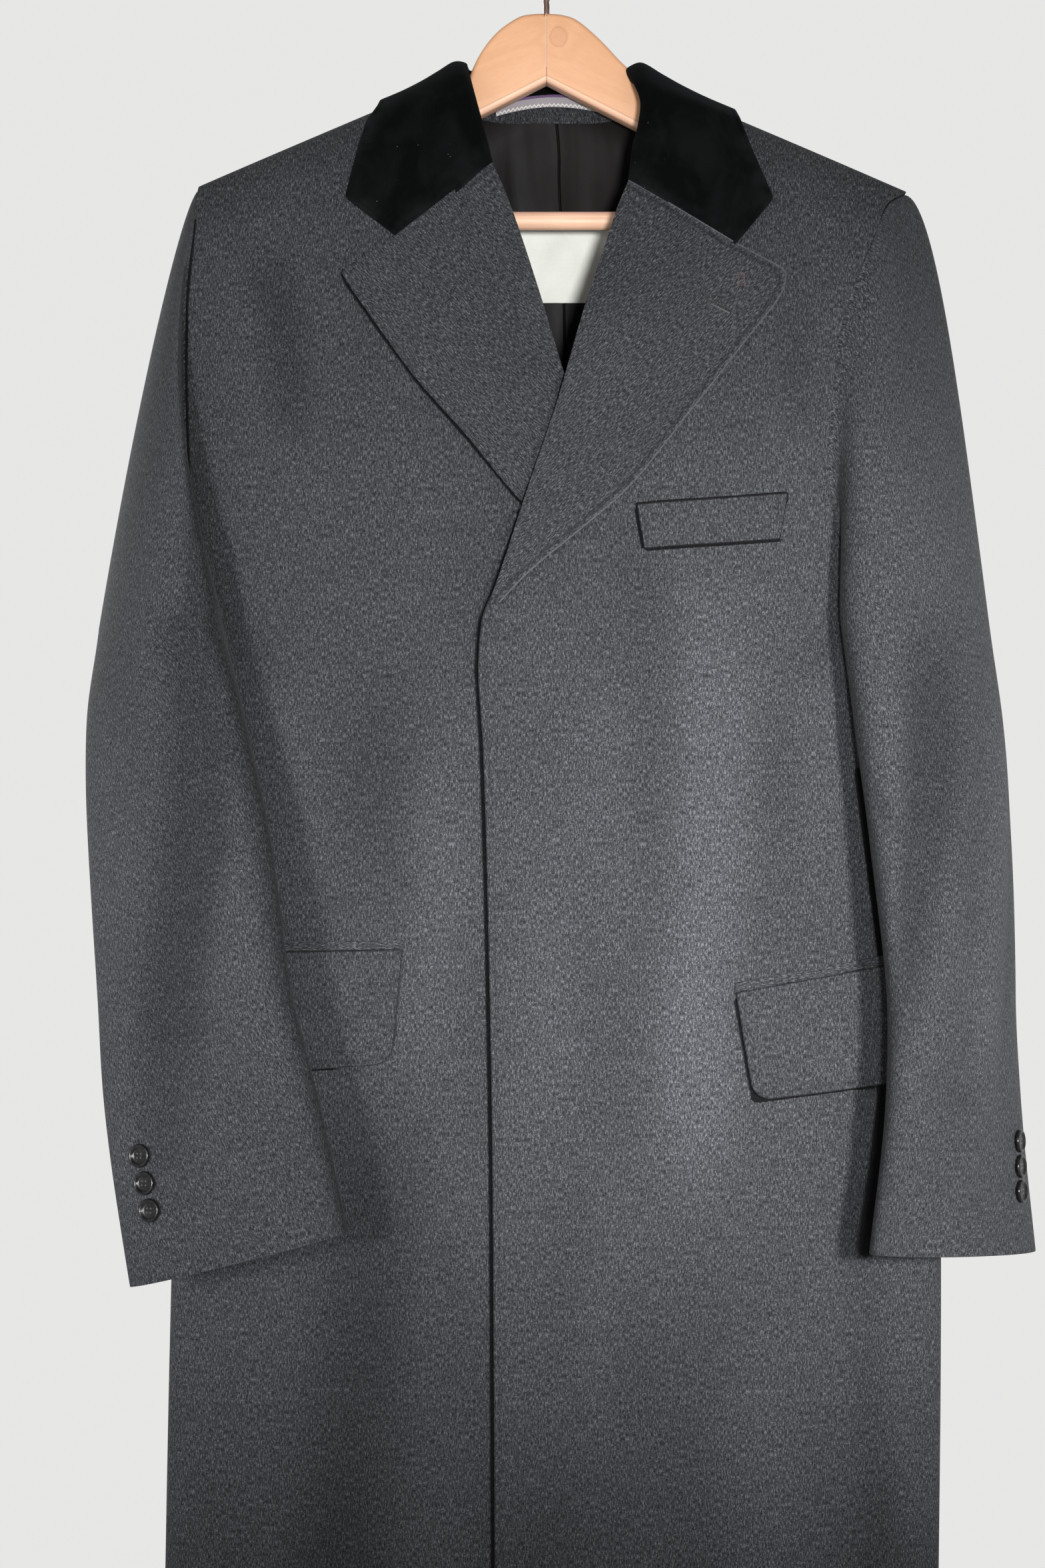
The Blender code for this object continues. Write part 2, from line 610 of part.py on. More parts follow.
def clear_of_body(point, clearance):
    """Push a point out of the body's section, to lie just clear of it."""
    side = 1 if point.x >= MIDDLE_X else -1
    middle = read(LEVELS, "middle", point.z)
    face = -1 if point.y < middle else 1
    wide = abs(side_x(side, point.z) - MIDDLE_X) + clearance
    deep = read(LEVELS, "front" if face < 0 else "back", point.z) + clearance
    across = abs(point.x - MIDDLE_X) / wide
    depth = abs(point.y - middle) / deep
    reach = (across ** SECTION_POWER + depth ** SECTION_POWER) ** (1.0 / SECTION_POWER)
    if reach >= 1.0:
        return point
    return Vector((MIDDLE_X + (point.x - MIDDLE_X) / reach,
                   middle + (point.y - middle) / reach, point.z))


def armhole_loop(side):
    """The armhole's edge: shoulder point, down the front to the underarm, up the back."""
    last = BODY_ROWS_ABOVE_UNDERARM
    levels = row_levels(side)
    loop = []
    order = [(-1, row) for row in range(last + 1)] + [(1, row) for row in range(last - 1, 0, -1)]
    for face, row in order:
        z = levels[row][1]
        x = outer_edge_x(side, face, z)
        loop.append(Vector((x, body_y(face, x, z), z)))
    return loop


def ring_angle(index, count):
    """Where a point of the armhole's loop comes to lie on a sleeve section."""
    half = count // 2
    if index <= half:
        return math.radians(mix(SHOULDER_ANGLE, UNDERARM_ANGLE, index / half))
    part = (index - half) / (count - half)
    return math.radians(mix(UNDERARM_ANGLE, SHOULDER_ANGLE - 360.0, part))


def sleeve_grid(side):
    """Rings of points from the armhole down to the cuff."""
    loop = armhole_loop(side)
    count = len(loop)
    angles = [ring_angle(i, count) for i in range(count)]
    top = ring_at(side, SLEEVES[side][0].z)
    grid = [[] for _ in range(CAP_RINGS)]
    outwards = Vector((side, 0.0, -0.25)).normalized()
    hole_middle = sum(loop, Vector()) / count
    for i, start in enumerate(loop):
        end = clear_of_body(sleeve_point(side, top, angles[i]), SLEEVE_CLEARANCE)
        crown = 0.5 + 0.5 * math.cos(2 * math.pi * i / count)
        first = start + outwards * mix(UNDERARM_RISE, CAP_RISE[side], crown)
        second = end + Vector((-side * CAP_LEAN[side], 0.0, 1.0)) * mix(*CAP_DROP, crown)
        inwards = hole_middle - start
        inwards.x = 0.0
        start = start + inwards.normalized() * ARMHOLE_GAP + Vector((side * ARMHOLE_GAP, 0.0, 0.0))
        for ring in range(CAP_RINGS):
            t = ring / CAP_RINGS
            grid[ring].append(start * (1 - t) ** 3 + first * (3 * t * (1 - t) ** 2)
                              + second * (3 * t * t * (1 - t)) + end * t ** 3)
    cuff = SLEEVES[side][-1].z
    for ring in range(SLEEVE_RINGS + 1):
        section = ring_at(side, mix(top.z, cuff, ring / SLEEVE_RINGS))
        grid.append([clear_of_body(sleeve_point(side, section, angle), SLEEVE_CLEARANCE)
                     for angle in angles])
    return grid


def sleeve(side, name, cloth, parts):
    grid = sleeve_grid(side)
    normals = grid_normals(grid, wrap=True)
    middle = [sum(line, Vector()) / len(line) for line in grid]
    for r, line in enumerate(normals):
        for c, normal in enumerate(line):
            if normal.dot(grid[r][c] - middle[r]) < 0:
                line[c] = -normal
    inside = moved(grid, normals, -CLOTH)
    count = len(grid[0])
    pieces = (("top_sleeve_" + name, range(HIND_SEAM - count, FORE_SEAM + 1)),
              ("under_sleeve_" + name, range(FORE_SEAM, HIND_SEAM + 1)))
    for piece_name, columns in pieces:
        outer = [[line[c % count] for c in columns] for line in grid]
        inner = [[line[c % count] for c in columns] for line in inside]
        pull_edges(outer, inner, left=SEAM_GAP / 2, right=SEAM_GAP / 2)
        sheet(piece_name, outer, inner, cloth, parts)


# ---------------------------------------------------------------- lapels and pockets
def lapel_grid(side, columns):
    """Rows across the lapel, from its roll line to its outer edge."""
    grid, normals = [], []
    for index, row in enumerate(LAPELS[side]):
        line, line_normals = [], []
        for column in range(columns + 1):
            part = column / columns
            x = mix(row.roll_x, row.edge_x, part)
            z = mix(row.roll_z, row.edge_z, part)
            if index == 0:
                notch_x, notch_z = NOTCH[side]
                notch = abs(notch_x - row.roll_x) / abs(row.edge_x - row.roll_x)
                bend = part / notch if part < notch else (1 - part) / (1 - notch)
                z += bend * (notch_z - mix(row.roll_z, row.edge_z, notch))
            point, normal = body_point(-1, x, z, lifted=side > 0)
            line.append(point)
            line_normals.append(normal)
        grid.append(line)
        normals.append(line_normals)
    return grid, normals


def lapels(cloth, parts):
    columns = 6
    for side, name in ((1, "lapel_left"), (-1, "lapel_right")):
        grid, normals = lapel_grid(side, columns)

        def height(r, c):
            roll = LAPEL_ROLL_HEIGHT * mix(1.0, 0.3, r / (len(grid) - 1))
            return LAPEL_GAP + roll * math.sin(math.pi * (1 - c / columns) ** 2)

        inner = moved(grid, normals, height)
        outer = moved(grid, normals, lambda r, c: height(r, c) + LAPEL_THICKNESS)
        sheet(name, outer, inner, cloth, parts)


PATCH_COLUMNS = (0.0, 0.02, 0.06, 0.12, 0.24, 0.36, 0.48, 0.60, 0.71, 0.80, 0.88, 0.94, 0.98, 1.0)
PATCH_ROWS = (0.0, 0.25, 0.5, 0.8, 1.0)


def patch_grid(corners, rounding):
    """Rows of points over a four-cornered patch, with its lower corners rounded."""
    top_in, top_out, low_out, low_in = corners
    length = abs(low_out.x - low_in.x)
    height = top_in.z - low_in.z
    grid, normals = [], []
    for down in PATCH_ROWS:
        line, line_normals = [], []
        for across in PATCH_COLUMNS:
            from_end = min(across, 1.0 - across) * length
            lift = 0.0
            if down == 1.0 and from_end < rounding:
                lift = rounding - math.sqrt(rounding ** 2 - (rounding - from_end) ** 2)
            part = down - lift / height
            x = mix(mix(top_in.x, top_out.x, across), mix(low_in.x, low_out.x, across), part)
            z = mix(mix(top_in.z, top_out.z, across), mix(low_in.z, low_out.z, across), part)
            point, normal = body_point(-1, x, z, lifted=corners[0].x > 0)
            line.append(point)
            line_normals.append(normal)
        grid.append(line)
        normals.append(line_normals)
    return grid, normals


def patch(name, corners, gap, thickness, rounding, cloth, parts):
    grid, normals = patch_grid(corners, rounding)
    inner = moved(grid, normals, gap)
    outer = moved(grid, normals, gap + thickness)
    sheet(name, outer, inner, cloth, parts)


def pockets(cloth, parts):
    patch("breast_welt", BREAST_WELT, WELT_GAP, WELT_THICKNESS, 0.0, cloth, parts)
    patch("flap_left", FLAPS[1], FLAP_GAP, FLAP_THICKNESS, FLAP_CORNER, cloth, parts)
    patch("flap_right", FLAPS[-1], FLAP_GAP, FLAP_THICKNESS, FLAP_CORNER, cloth, parts)


# ---------------------------------------------------------------- collar
COLLAR_FALL = ((0.10, 0.0072), (0.30, 0.0068), (0.50, 0.0060), (0.75, 0.0054), (1.0, 0.0052))


def collar_grid():
    """Sections of the folded collar: up the stand, over the fold, down the fall."""
    grid = []
    neck_middle = Vector((MIDDLE_X, 0.0, 0.0))
    for station in COLLAR:
        fold_face = station.fold_face
        fold, out = body_point(fold_face, station.fold_x, station.fold_z)
        if fold_face == 0:
            fold = Vector((station.fold_x, fold.y, station.fold_z))
            out = Vector((math.copysign(0.6, station.fold_x), 0.0, 0.8)).normalized()
        elif fold_face > 0:
            fold.y = body_y(1, station.fold_x, BACK_NECK_Z) + 0.002
            out = Vector((0.0, 1.0, 0.25)).normalized()
        edge, _ = body_point(station.edge_face, station.edge_x, station.edge_z)
        away = (edge - fold)
        away -= out * away.dot(out)
        away.normalize()
        line = [fold + away * station.stand - out * 0.0032,
                fold + away * 0.006 - out * 0.0032,
                fold + away * 0.0012 - out * 0.0006,
                fold + out * 0.0026]
        for part, height in COLLAR_FALL:
            x = mix(station.fold_x, station.edge_x, part)
            z = mix(station.fold_z, station.edge_z, part)
            face = station.edge_face
            point, normal = body_point(face, x, z)
            if face == 0:
                normal = ridge_normal(x)
            if face > 0:
                under = min(z, BACK_NECK_Z - 0.001, ridge_z(x) - 0.004)
                near, normal = body_point(1, x, under)
                point = Vector((x, mix(fold.y + 0.001, near.y, smooth(0.0, 0.45, part)), z))
            line.append(point + normal * height)
        grid.append(line)
    return grid


def collar(velvet, parts):
    grid = collar_grid()
    normals = grid_normals(grid)
    probe = normals[len(grid) // 2][-1]
    if probe.y < 0:
        normals = [[-normal for normal in line] for line in normals]
    inner = moved(grid, normals, -COLLAR_THICKNESS)
    sheet("velvet_collar", grid, inner, velvet, parts)


# ---------------------------------------------------------------- inside the neck
def inside_sheet(name, rows, depth, thickness, material, parts):
    """A sheet on the inside of the back; rows are lists of x and z."""
    grid, normals = [], []
    for row in rows:
        line, line_normals = [], []
        for x, z in row:
            point, normal = body_point(1, x, z)
            line.append(point)
            line_normals.append(normal)
        grid.append(line)
        normals.append(line_normals)
    outer = moved(grid, normals, -depth)
    inner = moved(grid, normals, -depth - thickness)
    sheet(name, outer, inner, material, parts)


def whole_back():
    """Points and normals of both halves of the back, from armhole to armhole."""
    grids = {}
    for side in (1, -1):
        grid = panel_grid(side, 1, lambda z: MIDDLE_X, BACK_COLUMNS)
        grids[side] = grid, panel_normals(grid, side, 1)
    points, normals = [], []
    for left, right in zip(grids[-1][0], grids[1][0]):
        points.append(list(reversed(left)) + right[1:])
    for left, right in zip(grids[-1][1], grids[1][1]):
        normals.append(list(reversed(left)) + right[1:])
    return points, normals


def back_layer(name, rows, margin, depth, thickness, material, parts):
    """A layer inside the back: the back's own points, moved inwards."""
    points, normals = whole_back()
    points = [line[margin:len(line) - margin] for line in points[rows]]
    normals = [line[margin:len(line) - margin] for line in normals[rows]]
    outer = moved(points, normals, -depth)
    inner = moved(points, normals, -depth - thickness)
    pull_edges(outer, inner, top=SEAM_GAP)
    sheet(name, outer, inner, material, parts)


def neck_inside(materials, parts):
    inset = CLOTH + LYING_GAP
    neck_margin = BACK_COLUMNS - NECK_COLUMNS
    back_layer("back_neck_facing", slice(0, 3), neck_margin, inset, CLOTH,
               materials["cloth"], parts)
    back_layer("back_lining", slice(2, -1), 1, inset, LINING_THICKNESS,
               materials["satin"], parts)

    label_depth = inset + LINING_THICKNESS + LABEL_GAP
    heights = (LABEL["top"], mix(LABEL["top"], LABEL["bottom"], 0.5), LABEL["bottom"])
    rows = [[(LABEL["x"] + LABEL["width"] * (c / 4 - 0.5), z) for c in range(5)]
            for z in heights]
    inside_sheet("label", rows, label_depth, LABEL_THICKNESS, materials["label"], parts)

    loop_depth = inset + CLOTH + LOOP_GAP
    steps = 10
    rows = []
    for edge in (0.5, -0.5):
        row = []
        for step in range(steps + 1):
            across = 2 * step / steps - 1
            x = MIDDLE_X + LOOP["half_length"] * across
            z = LOOP["z"] + LOOP["rise"] * (1 - across ** 2) + LOOP["width"] * edge
            row.append((x, z))
        rows.append(row)
    inside_sheet("hanging_loop", rows, loop_depth, LOOP_THICKNESS, materials["loop"], parts)


# ---------------------------------------------------------------- buttons
def button(name, place, facing, horn, parts):
    """A turned button with a raised rim round its dished middle."""
    profile = [(0.0, BUTTON_THICKNESS - BUTTON_RIM),
               (BUTTON_RADIUS * 0.62, BUTTON_THICKNESS - BUTTON_RIM),
               (BUTTON_RADIUS * 0.78, BUTTON_THICKNESS),
               (BUTTON_RADIUS * 0.92, BUTTON_THICKNESS * 0.95),
               (BUTTON_RADIUS, BUTTON_THICKNESS * 0.55),
               (BUTTON_RADIUS * 0.80, 0.0),
               (0.0, 0.0)]
    shape = bmesh.new()
    points = [shape.verts.new((radius, 0.0, height)) for radius, height in profile]
    edges = [shape.edges.new(pair) for pair in zip(points, points[1:])]
    bmesh.ops.spin(shape, geom=points + edges, cent=(0, 0, 0), axis=(0, 0, 1),
                   angle=2 * math.pi, steps=16, use_merge=True)
    bmesh.ops.remove_doubles(shape, verts=shape.verts, dist=0.00001)
    bmesh.ops.recalc_face_normals(shape, faces=shape.faces)
    mesh = bpy.data.meshes.new(name)
    shape.to_mesh(mesh)
    shape.free()
    mesh.shade_smooth()
    mesh.set_sharp_from_angle(angle=math.radians(40))
    piece = new_object(name, mesh, horn, parts)
    turn = facing.to_track_quat("Z", "Y").to_matrix().to_4x4()
    piece.matrix_world = Matrix.Translation(place) @ turn


def cuff_buttons(horn, parts):
    for side, name in ((1, "left"), (-1, "right")):
        angle = math.radians(BUTTON_ANGLE[side])
        for number, z in enumerate(BUTTON_HEIGHTS[side], start=1):
            ring = ring_at(side, z)
            step = 0.02
            here = sleeve_point(side, ring, angle)
            along = sleeve_point(side, ring, angle + step) - sleeve_point(side, ring, angle - step)
            below = sleeve_point(side, ring_at(side, z - 0.01), angle)
            facing = along.cross(below - here).normalized()
            if facing.y > 0:
                facing = -facing
            button(f"cuff_button_{name}_{number}", here + facing * BUTTON_SHANK[side], facing,
                   horn, parts)


# ---------------------------------------------------------------- hanger
def arm_outline():
    """Outline of one wooden arm, from the middle outwards along the top and back below."""
    top = []
    for x, z in ((0.0, DOME_TOP_Z), (0.014, -0.0618), (0.027, -0.0668), (0.039, -0.0765),
                 (0.0460, -0.0925), (0.0515, -0.1115), (0.0590, -0.1215), (0.0700, -0.1240)):
        top.append((x, z))
    for x in (0.105, 0.140, 0.175):
        top.append((x, ridge_z(x) - 0.0085))
    end_top = ridge_z(ARM_END_X) - 0.0085
    end_low = ARM_LOWER_Z - ARM_LOWER_SLOPE * (ARM_END_X - 0.012)
    top += [(ARM_END_X - 0.006, end_top + 0.0005), (ARM_END_X, mix(end_top, end_low, 0.3)),
            (ARM_END_X, mix(end_top, end_low, 0.75)), (ARM_END_X - 0.008, end_low)]
    low = [(x, ARM_LOWER_Z - ARM_LOWER_SLOPE * x) for x in (0.160, 0.110, 0.055, 0.0)]
    return top + low


def hanger_arm(side, name, wood, parts, guides):
    shape = bmesh.new()
    corners = []
    for x, z in arm_outline():
        place = side * max(x, SEAM_GAP / 2)
        corners.append(shape.verts.new((place, -WOOD_THICKNESS / 2, z)))
    face = shape.faces.new(corners)
    back = bmesh.ops.extrude_face_region(shape, geom=[face])
    moved_points = [item for item in back["geom"] if isinstance(item, bmesh.types.BMVert)]
    bmesh.ops.translate(shape, verts=moved_points, vec=(0, WOOD_THICKNESS, 0))
    bmesh.ops.recalc_face_normals(shape, faces=shape.faces)
    rim = [edge for edge in shape.edges
           if abs(edge.verts[0].co.y - edge.verts[1].co.y) < 1e-6
           and abs(edge.verts[0].co.x) + abs(edge.verts[1].co.x) > 0.002]
    bmesh.ops.bevel(shape, geom=rim, offset=WOOD_EDGE, segments=2, profile=0.5,
                    affect="EDGES", material=-1)
    for point in shape.verts:
        point.co.y -= ARM_FORWARD * abs(point.co.x)
    mesh = bpy.data.meshes.new(name)
    shape.to_mesh(mesh)
    shape.free()
    mesh.shade_smooth()
    mesh.set_sharp_from_angle(angle=math.radians(35))
    arm = new_object(name, mesh, wood, parts)

    bpy.ops.mesh.primitive_cylinder_add(vertices=16, radius=BAR_RADIUS + BAR_CLEARANCE,
                                        depth=BAR_HALF + BAR_CLEARANCE,
                                        location=(side * (BAR_HALF + BAR_CLEARANCE) / 2,
                                                  bar_y(), BAR_Z),
                                        rotation=(0, math.pi / 2, 0))
    cutter = bpy.context.object
    cutter.name = f"bar_socket_{name}"
    for collection in list(cutter.users_collection):
        collection.objects.unlink(cutter)
    guides.objects.link(cutter)
    cutter.hide_render = True
    cutter.display_type = "WIRE"
    socket = arm.modifiers.new("bar_socket", "BOOLEAN")
    socket.operation = "DIFFERENCE"
    socket.object = cutter


def bar_y():
    return -ARM_FORWARD * (BAR_HALF - 0.010)


def hanger(materials, parts, guides):
    hanger_arm(1, "hanger_arm_left", materials["wood"], parts, guides)
    hanger_arm(-1, "hanger_arm_right", materials["wood"], parts, guides)
    bpy.ops.mesh.primitive_cylinder_add(vertices=16, radius=BAR_RADIUS, depth=2 * BAR_HALF,
                                        location=(0, bar_y(), BAR_Z),
                                        rotation=(0, math.pi / 2, 0))
    bar = bpy.context.object
    bar.name = "trouser_bar"
    bar.data.materials.append(materials["bar"])
    for collection in list(bar.users_collection):
        collection.objects.unlink(bar)
    parts.objects.link(bar)
    hook(materials["wire"], parts)


def hook(wire, parts):
    """The bent wire: a stem out of the wood and a round hook over the rail."""
    centre_z = -HOOK_RADIUS + HOOK_WIRE
    points = [(0.0, DOME_TOP_Z + 0.0005), (0.0, -0.0540), (0.0010, -0.0500), (0.0045, -0.0455)]
    for step in range(13):
        angle = math.radians(-52 + step * 21)
        points.append((HOOK_RADIUS * math.cos(angle), centre_z + HOOK_RADIUS * math.sin(angle)))
    curve = bpy.data.curves.new("hook", "CURVE")
    curve.dimensions = "3D"
    curve.bevel_depth = HOOK_WIRE
    curve.bevel_resolution = 2
    curve.use_fill_caps = True
    spline = curve.splines.new("POLY")
    spline.points.add(len(points) - 1)
    for point, (x, z) in zip(spline.points, points):
        point.co = (x, 0.0, z, 1.0)
    piece = bpy.data.objects.new("hook", curve)
    curve.materials.append(wire)
    parts.objects.link(piece)


# ---------------------------------------------------------------- materials and main
def material(name, colour, roughness, metallic=0.0):
    made = bpy.data.materials.new(name)
    made.use_nodes = True
    shader = made.node_tree.nodes["Principled BSDF"]
    shader.inputs["Base Color"].default_value = (*colour, 1.0)
    shader.inputs["Roughness"].default_value = roughness
    shader.inputs["Metallic"].default_value = metallic
    return made


def main():
    for item in list(bpy.data.objects):
        bpy.data.objects.remove(item)
    parts = bpy.data.collections.new("covert_coat")
    guides = bpy.data.collections.new("guides")
    for collection in (parts, guides):
        bpy.context.scene.collection.children.link(collection)
    materials = {
        "cloth": material("grey_covert_cloth", (0.085, 0.088, 0.098), 0.9),
        "velvet": material("black_velvet", (0.006, 0.006, 0.007), 0.95),
        "satin": material("dark_satin", (0.020, 0.015, 0.012), 0.4),
        "label": material("bare_label", (0.80, 0.78, 0.72), 0.7),
        "loop": material("woven_loop", (0.42, 0.36, 0.42), 0.6),
        "horn": material("black_horn", (0.008, 0.008, 0.009), 0.2),
        "wood": material("pale_wood", (0.78, 0.46, 0.24), 0.45),
        "bar": material("cream_wood", (0.90, 0.68, 0.42), 0.5),
        "wire": material("steel_wire", (0.45, 0.42, 0.40), 0.3, 1.0),
    }
    backs(materials["cloth"], parts)
    fronts(materials["cloth"], parts)
    sleeve(1, "left", materials["cloth"], parts)
    sleeve(-1, "right", materials["cloth"], parts)
    lapels(materials["cloth"], parts)
    pockets(materials["cloth"], parts)
    collar(materials["velvet"], parts)
    neck_inside(materials, parts)
    cuff_buttons(materials["horn"], parts)
    hanger(materials, parts, guides)


main()
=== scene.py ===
import math
from collections import namedtuple

import bmesh
import bpy
from bpy.props import FloatProperty, FloatVectorProperty, PointerProperty
from mathutils import Matrix, Vector, kdtree, noise


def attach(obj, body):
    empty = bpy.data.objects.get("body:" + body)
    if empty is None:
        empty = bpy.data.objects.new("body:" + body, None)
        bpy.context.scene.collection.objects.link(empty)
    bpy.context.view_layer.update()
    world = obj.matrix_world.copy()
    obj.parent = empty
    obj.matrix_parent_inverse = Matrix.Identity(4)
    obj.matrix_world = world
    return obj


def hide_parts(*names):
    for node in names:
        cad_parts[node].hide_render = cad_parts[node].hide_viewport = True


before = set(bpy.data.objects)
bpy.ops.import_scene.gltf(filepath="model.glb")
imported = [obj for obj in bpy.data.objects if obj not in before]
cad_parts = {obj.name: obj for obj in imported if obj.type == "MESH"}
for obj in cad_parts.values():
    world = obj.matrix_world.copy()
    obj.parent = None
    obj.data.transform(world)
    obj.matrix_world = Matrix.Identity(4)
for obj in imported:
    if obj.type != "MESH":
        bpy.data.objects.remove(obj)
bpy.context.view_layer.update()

bl_info = {
    "name": "Covert Coat",
    "version": (1, 0, 0),
    "blender": (4, 5, 0),
    "location": "View3D > Sidebar > Coat",
    "description": "Dresses the packed covert coat and its hanger in cloth, stitching and wood",
    "category": "Add Mesh",
}

# ---------------------------------------------------------------- the coat's own sizes, in metres
SIDES = ((1, "left"), (-1, "right"))
HEM_Z = -1.185
SHOULDER_PEAK_Z = -0.078
SHOULDER_SLOPE = 0.42
SHOULDER_ROUND = 0.050
SECTION_POWER = 2.4
MIDDLE_X = 0.006
BACK_NECK_Z = -0.114
BACK_NECK_CROWDING = 0.65
UNDERARM_Z = -0.445
NECK_X = {1: 0.074, -1: -0.070}
SHOULDER_END_X = {1: 0.235, -1: -0.227}



def rows_of(kind, rows):
    return [kind(*row) for row in rows]


def sides_of(kind, left, right):
    """One table for the wearer's left side, 1, and one for the right side, -1."""
    return {1: rows_of(kind, left), -1: rows_of(kind, right)}


Level = namedtuple("Level", "z left_side right_side front back middle")
LEVELS = rows_of(Level, [
    (-0.08, -0.262, 0.262, 0.024, 0.03, -0.01), (-0.14, -0.262, 0.262, 0.034, 0.036, -0.008),
    (-0.2, -0.26, 0.258, 0.046, 0.045, -0.004), (-0.3, -0.252, 0.245, 0.056, 0.052, 0.0),
    (-0.445, -0.234, 0.222, 0.06, 0.056, 0.004), (-0.6, -0.236, 0.235, 0.057, 0.055, 0.006),
    (-0.75, -0.241, 0.25, 0.054, 0.052, 0.006), (-0.88, -0.246, 0.259, 0.051, 0.049, 0.005),
    (-1.185, -0.252, 0.256, 0.046, 0.046, 0.003)
])

Edge = namedtuple("Edge", "z x")
OVER_FRONT_EDGE = rows_of(Edge, [
    (-0.1091, 0.074), (-0.125, 0.074), (-0.15, 0.072), (-0.174, 0.067), (-0.19, 0.06),
    (-0.205, 0.049), (-0.232, 0.035), (-0.257, 0.025), (-0.304, 0.011), (-0.334, 0.003),
    (-0.386, -0.016), (-0.433, -0.031), (-0.461, -0.042), (-0.49, -0.044), (-0.54, -0.041),
    (-0.64, -0.038), (-0.812, -0.035), (-1.185, -0.033)
])
UNDER_FRONT_EDGE = rows_of(Edge, [
    (-0.1074, -0.07), (-0.126, -0.066), (-0.15, -0.057), (-0.166, -0.047), (-0.2, -0.022),
    (-0.231, -0.011), (-0.303, 0.011), (-0.35, 0.028), (-0.4, 0.045), (-0.461, 0.064),
    (-0.52, 0.062), (-0.64, 0.059), (-1.185, 0.056)
])
Armhole = namedtuple("Armhole", "z front back")
ARMHOLES = sides_of(Armhole, [
    (-0.1767, 0.235, 0.235), (-0.187, 0.221, 0.23), (-0.21, 0.211, 0.222), (-0.239, 0.199, 0.217),
    (-0.262, 0.191, 0.214), (-0.293, 0.185, 0.212), (-0.358, 0.181, 0.211), (-0.395, 0.185, 0.213),
    (-0.425, 0.199, 0.217), (-0.445, 0.222, 0.222)
], [
    (-0.1733, -0.227, -0.227), (-0.2, -0.228, -0.221), (-0.25, -0.233, -0.215),
    (-0.3, -0.234, -0.213), (-0.36, -0.233, -0.214), (-0.41, -0.231, -0.222),
    (-0.445, -0.234, -0.234)
])

LapelRow = namedtuple("LapelRow", "roll_x roll_z edge_x edge_z")
LAPELS = sides_of(LapelRow, [
    (0.052, -0.1785, 0.153, -0.2355), (0.044, -0.198, 0.1475, -0.2535),
    (0.0345, -0.228, 0.119, -0.29), (0.022, -0.267, 0.089, -0.328), (0.006, -0.322, 0.056, -0.371),
    (-0.011, -0.372, 0.024, -0.4), (-0.027, -0.421, -0.009, -0.427),
    (-0.037, -0.449, -0.03, -0.4485)
], [
    (-0.035, -0.167, -0.131, -0.236), (-0.025, -0.19, -0.127, -0.244),
    (-0.014, -0.222, -0.107, -0.273), (-0.002, -0.26, -0.082, -0.307),
    (0.012, -0.306, -0.051, -0.342), (0.029, -0.352, -0.016, -0.384),
    (0.047, -0.405, 0.024, -0.418), (0.06, -0.446, 0.054, -0.447)
])
NOTCH = {1: (0.120, -0.2185), -1: (-0.097, -0.2145)}
LAPEL_EDGE_LOOK = {1: (1.0, -0.55), -1: (0.15, 0.3)}     # depth of the stitching, and the rim's painted shade, a painted highlight when below zero
LAPEL_GAP = 0.0014
LAPEL_THICKNESS = 0.0030
LAPEL_ROLL_HEIGHT = 0.0022
LAPEL_ROW = 0.018          # length down the lapel from one row of its table to the next
LAPEL_CORNER = 0.0045
OVERLAP_LIFT_LAPEL = 0.0092
OVERLAP_LIFT_FLY = 0.0050

# face -1 is the front of the coat, 0 the shoulder ridge and 1 the back
Station = namedtuple("Station", "fold_x fold_z fold_face edge_x edge_z edge_face stand")
COLLAR = rows_of(Station, [
    (-0.035, -0.166, -1, -0.097, -0.2135, -1, 0.004),
    (-0.0375, -0.156, -1, -0.1285, -0.189, -1, 0.005),
    (-0.041, -0.142, -1, -0.122, -0.164, -1, 0.006),
    (-0.0455, -0.124, -1, -0.115, -0.141, -1, 0.007),
    (-0.0495, -0.106, -1, -0.1085, -0.129, -1, 0.007),
    (-0.0512, -0.0952, 0, -0.105, -0.1221, 0, 0.008), (-0.05, -0.0925, 1, -0.101, -0.13, 1, 0.01),
    (-0.041, -0.0895, 1, -0.086, -0.143, 1, 0.015), (-0.024, -0.0885, 1, -0.05, -0.148, 1, 0.021),
    (0.006, -0.088, 1, 0.006, -0.15, 1, 0.022), (0.036, -0.0895, 1, 0.062, -0.149, 1, 0.021),
    (0.05, -0.093, 1, 0.098, -0.146, 1, 0.015), (0.0502, -0.0965, 1, 0.114, -0.135, 1, 0.01),
    (0.0512, -0.0985, 0, 0.119, -0.1275, 0, 0.008),
    (0.0558, -0.111, -1, 0.1225, -0.1345, -1, 0.007), (0.06, -0.125, -1, 0.126, -0.145, -1, 0.007),
    (0.0585, -0.141, -1, 0.133, -0.164, -1, 0.006),
    (0.055, -0.155, -1, 0.1445, -0.1895, -1, 0.005), (0.052, -0.1785, -1, 0.1195, -0.22, -1, 0.002)
])
COLLAR_THICKNESS = 0.0026
COLLAR_FALL = ((0.10, 0.0072), (0.30, 0.0068), (0.50, 0.0060), (0.75, 0.0054), (1.0, 0.0052))

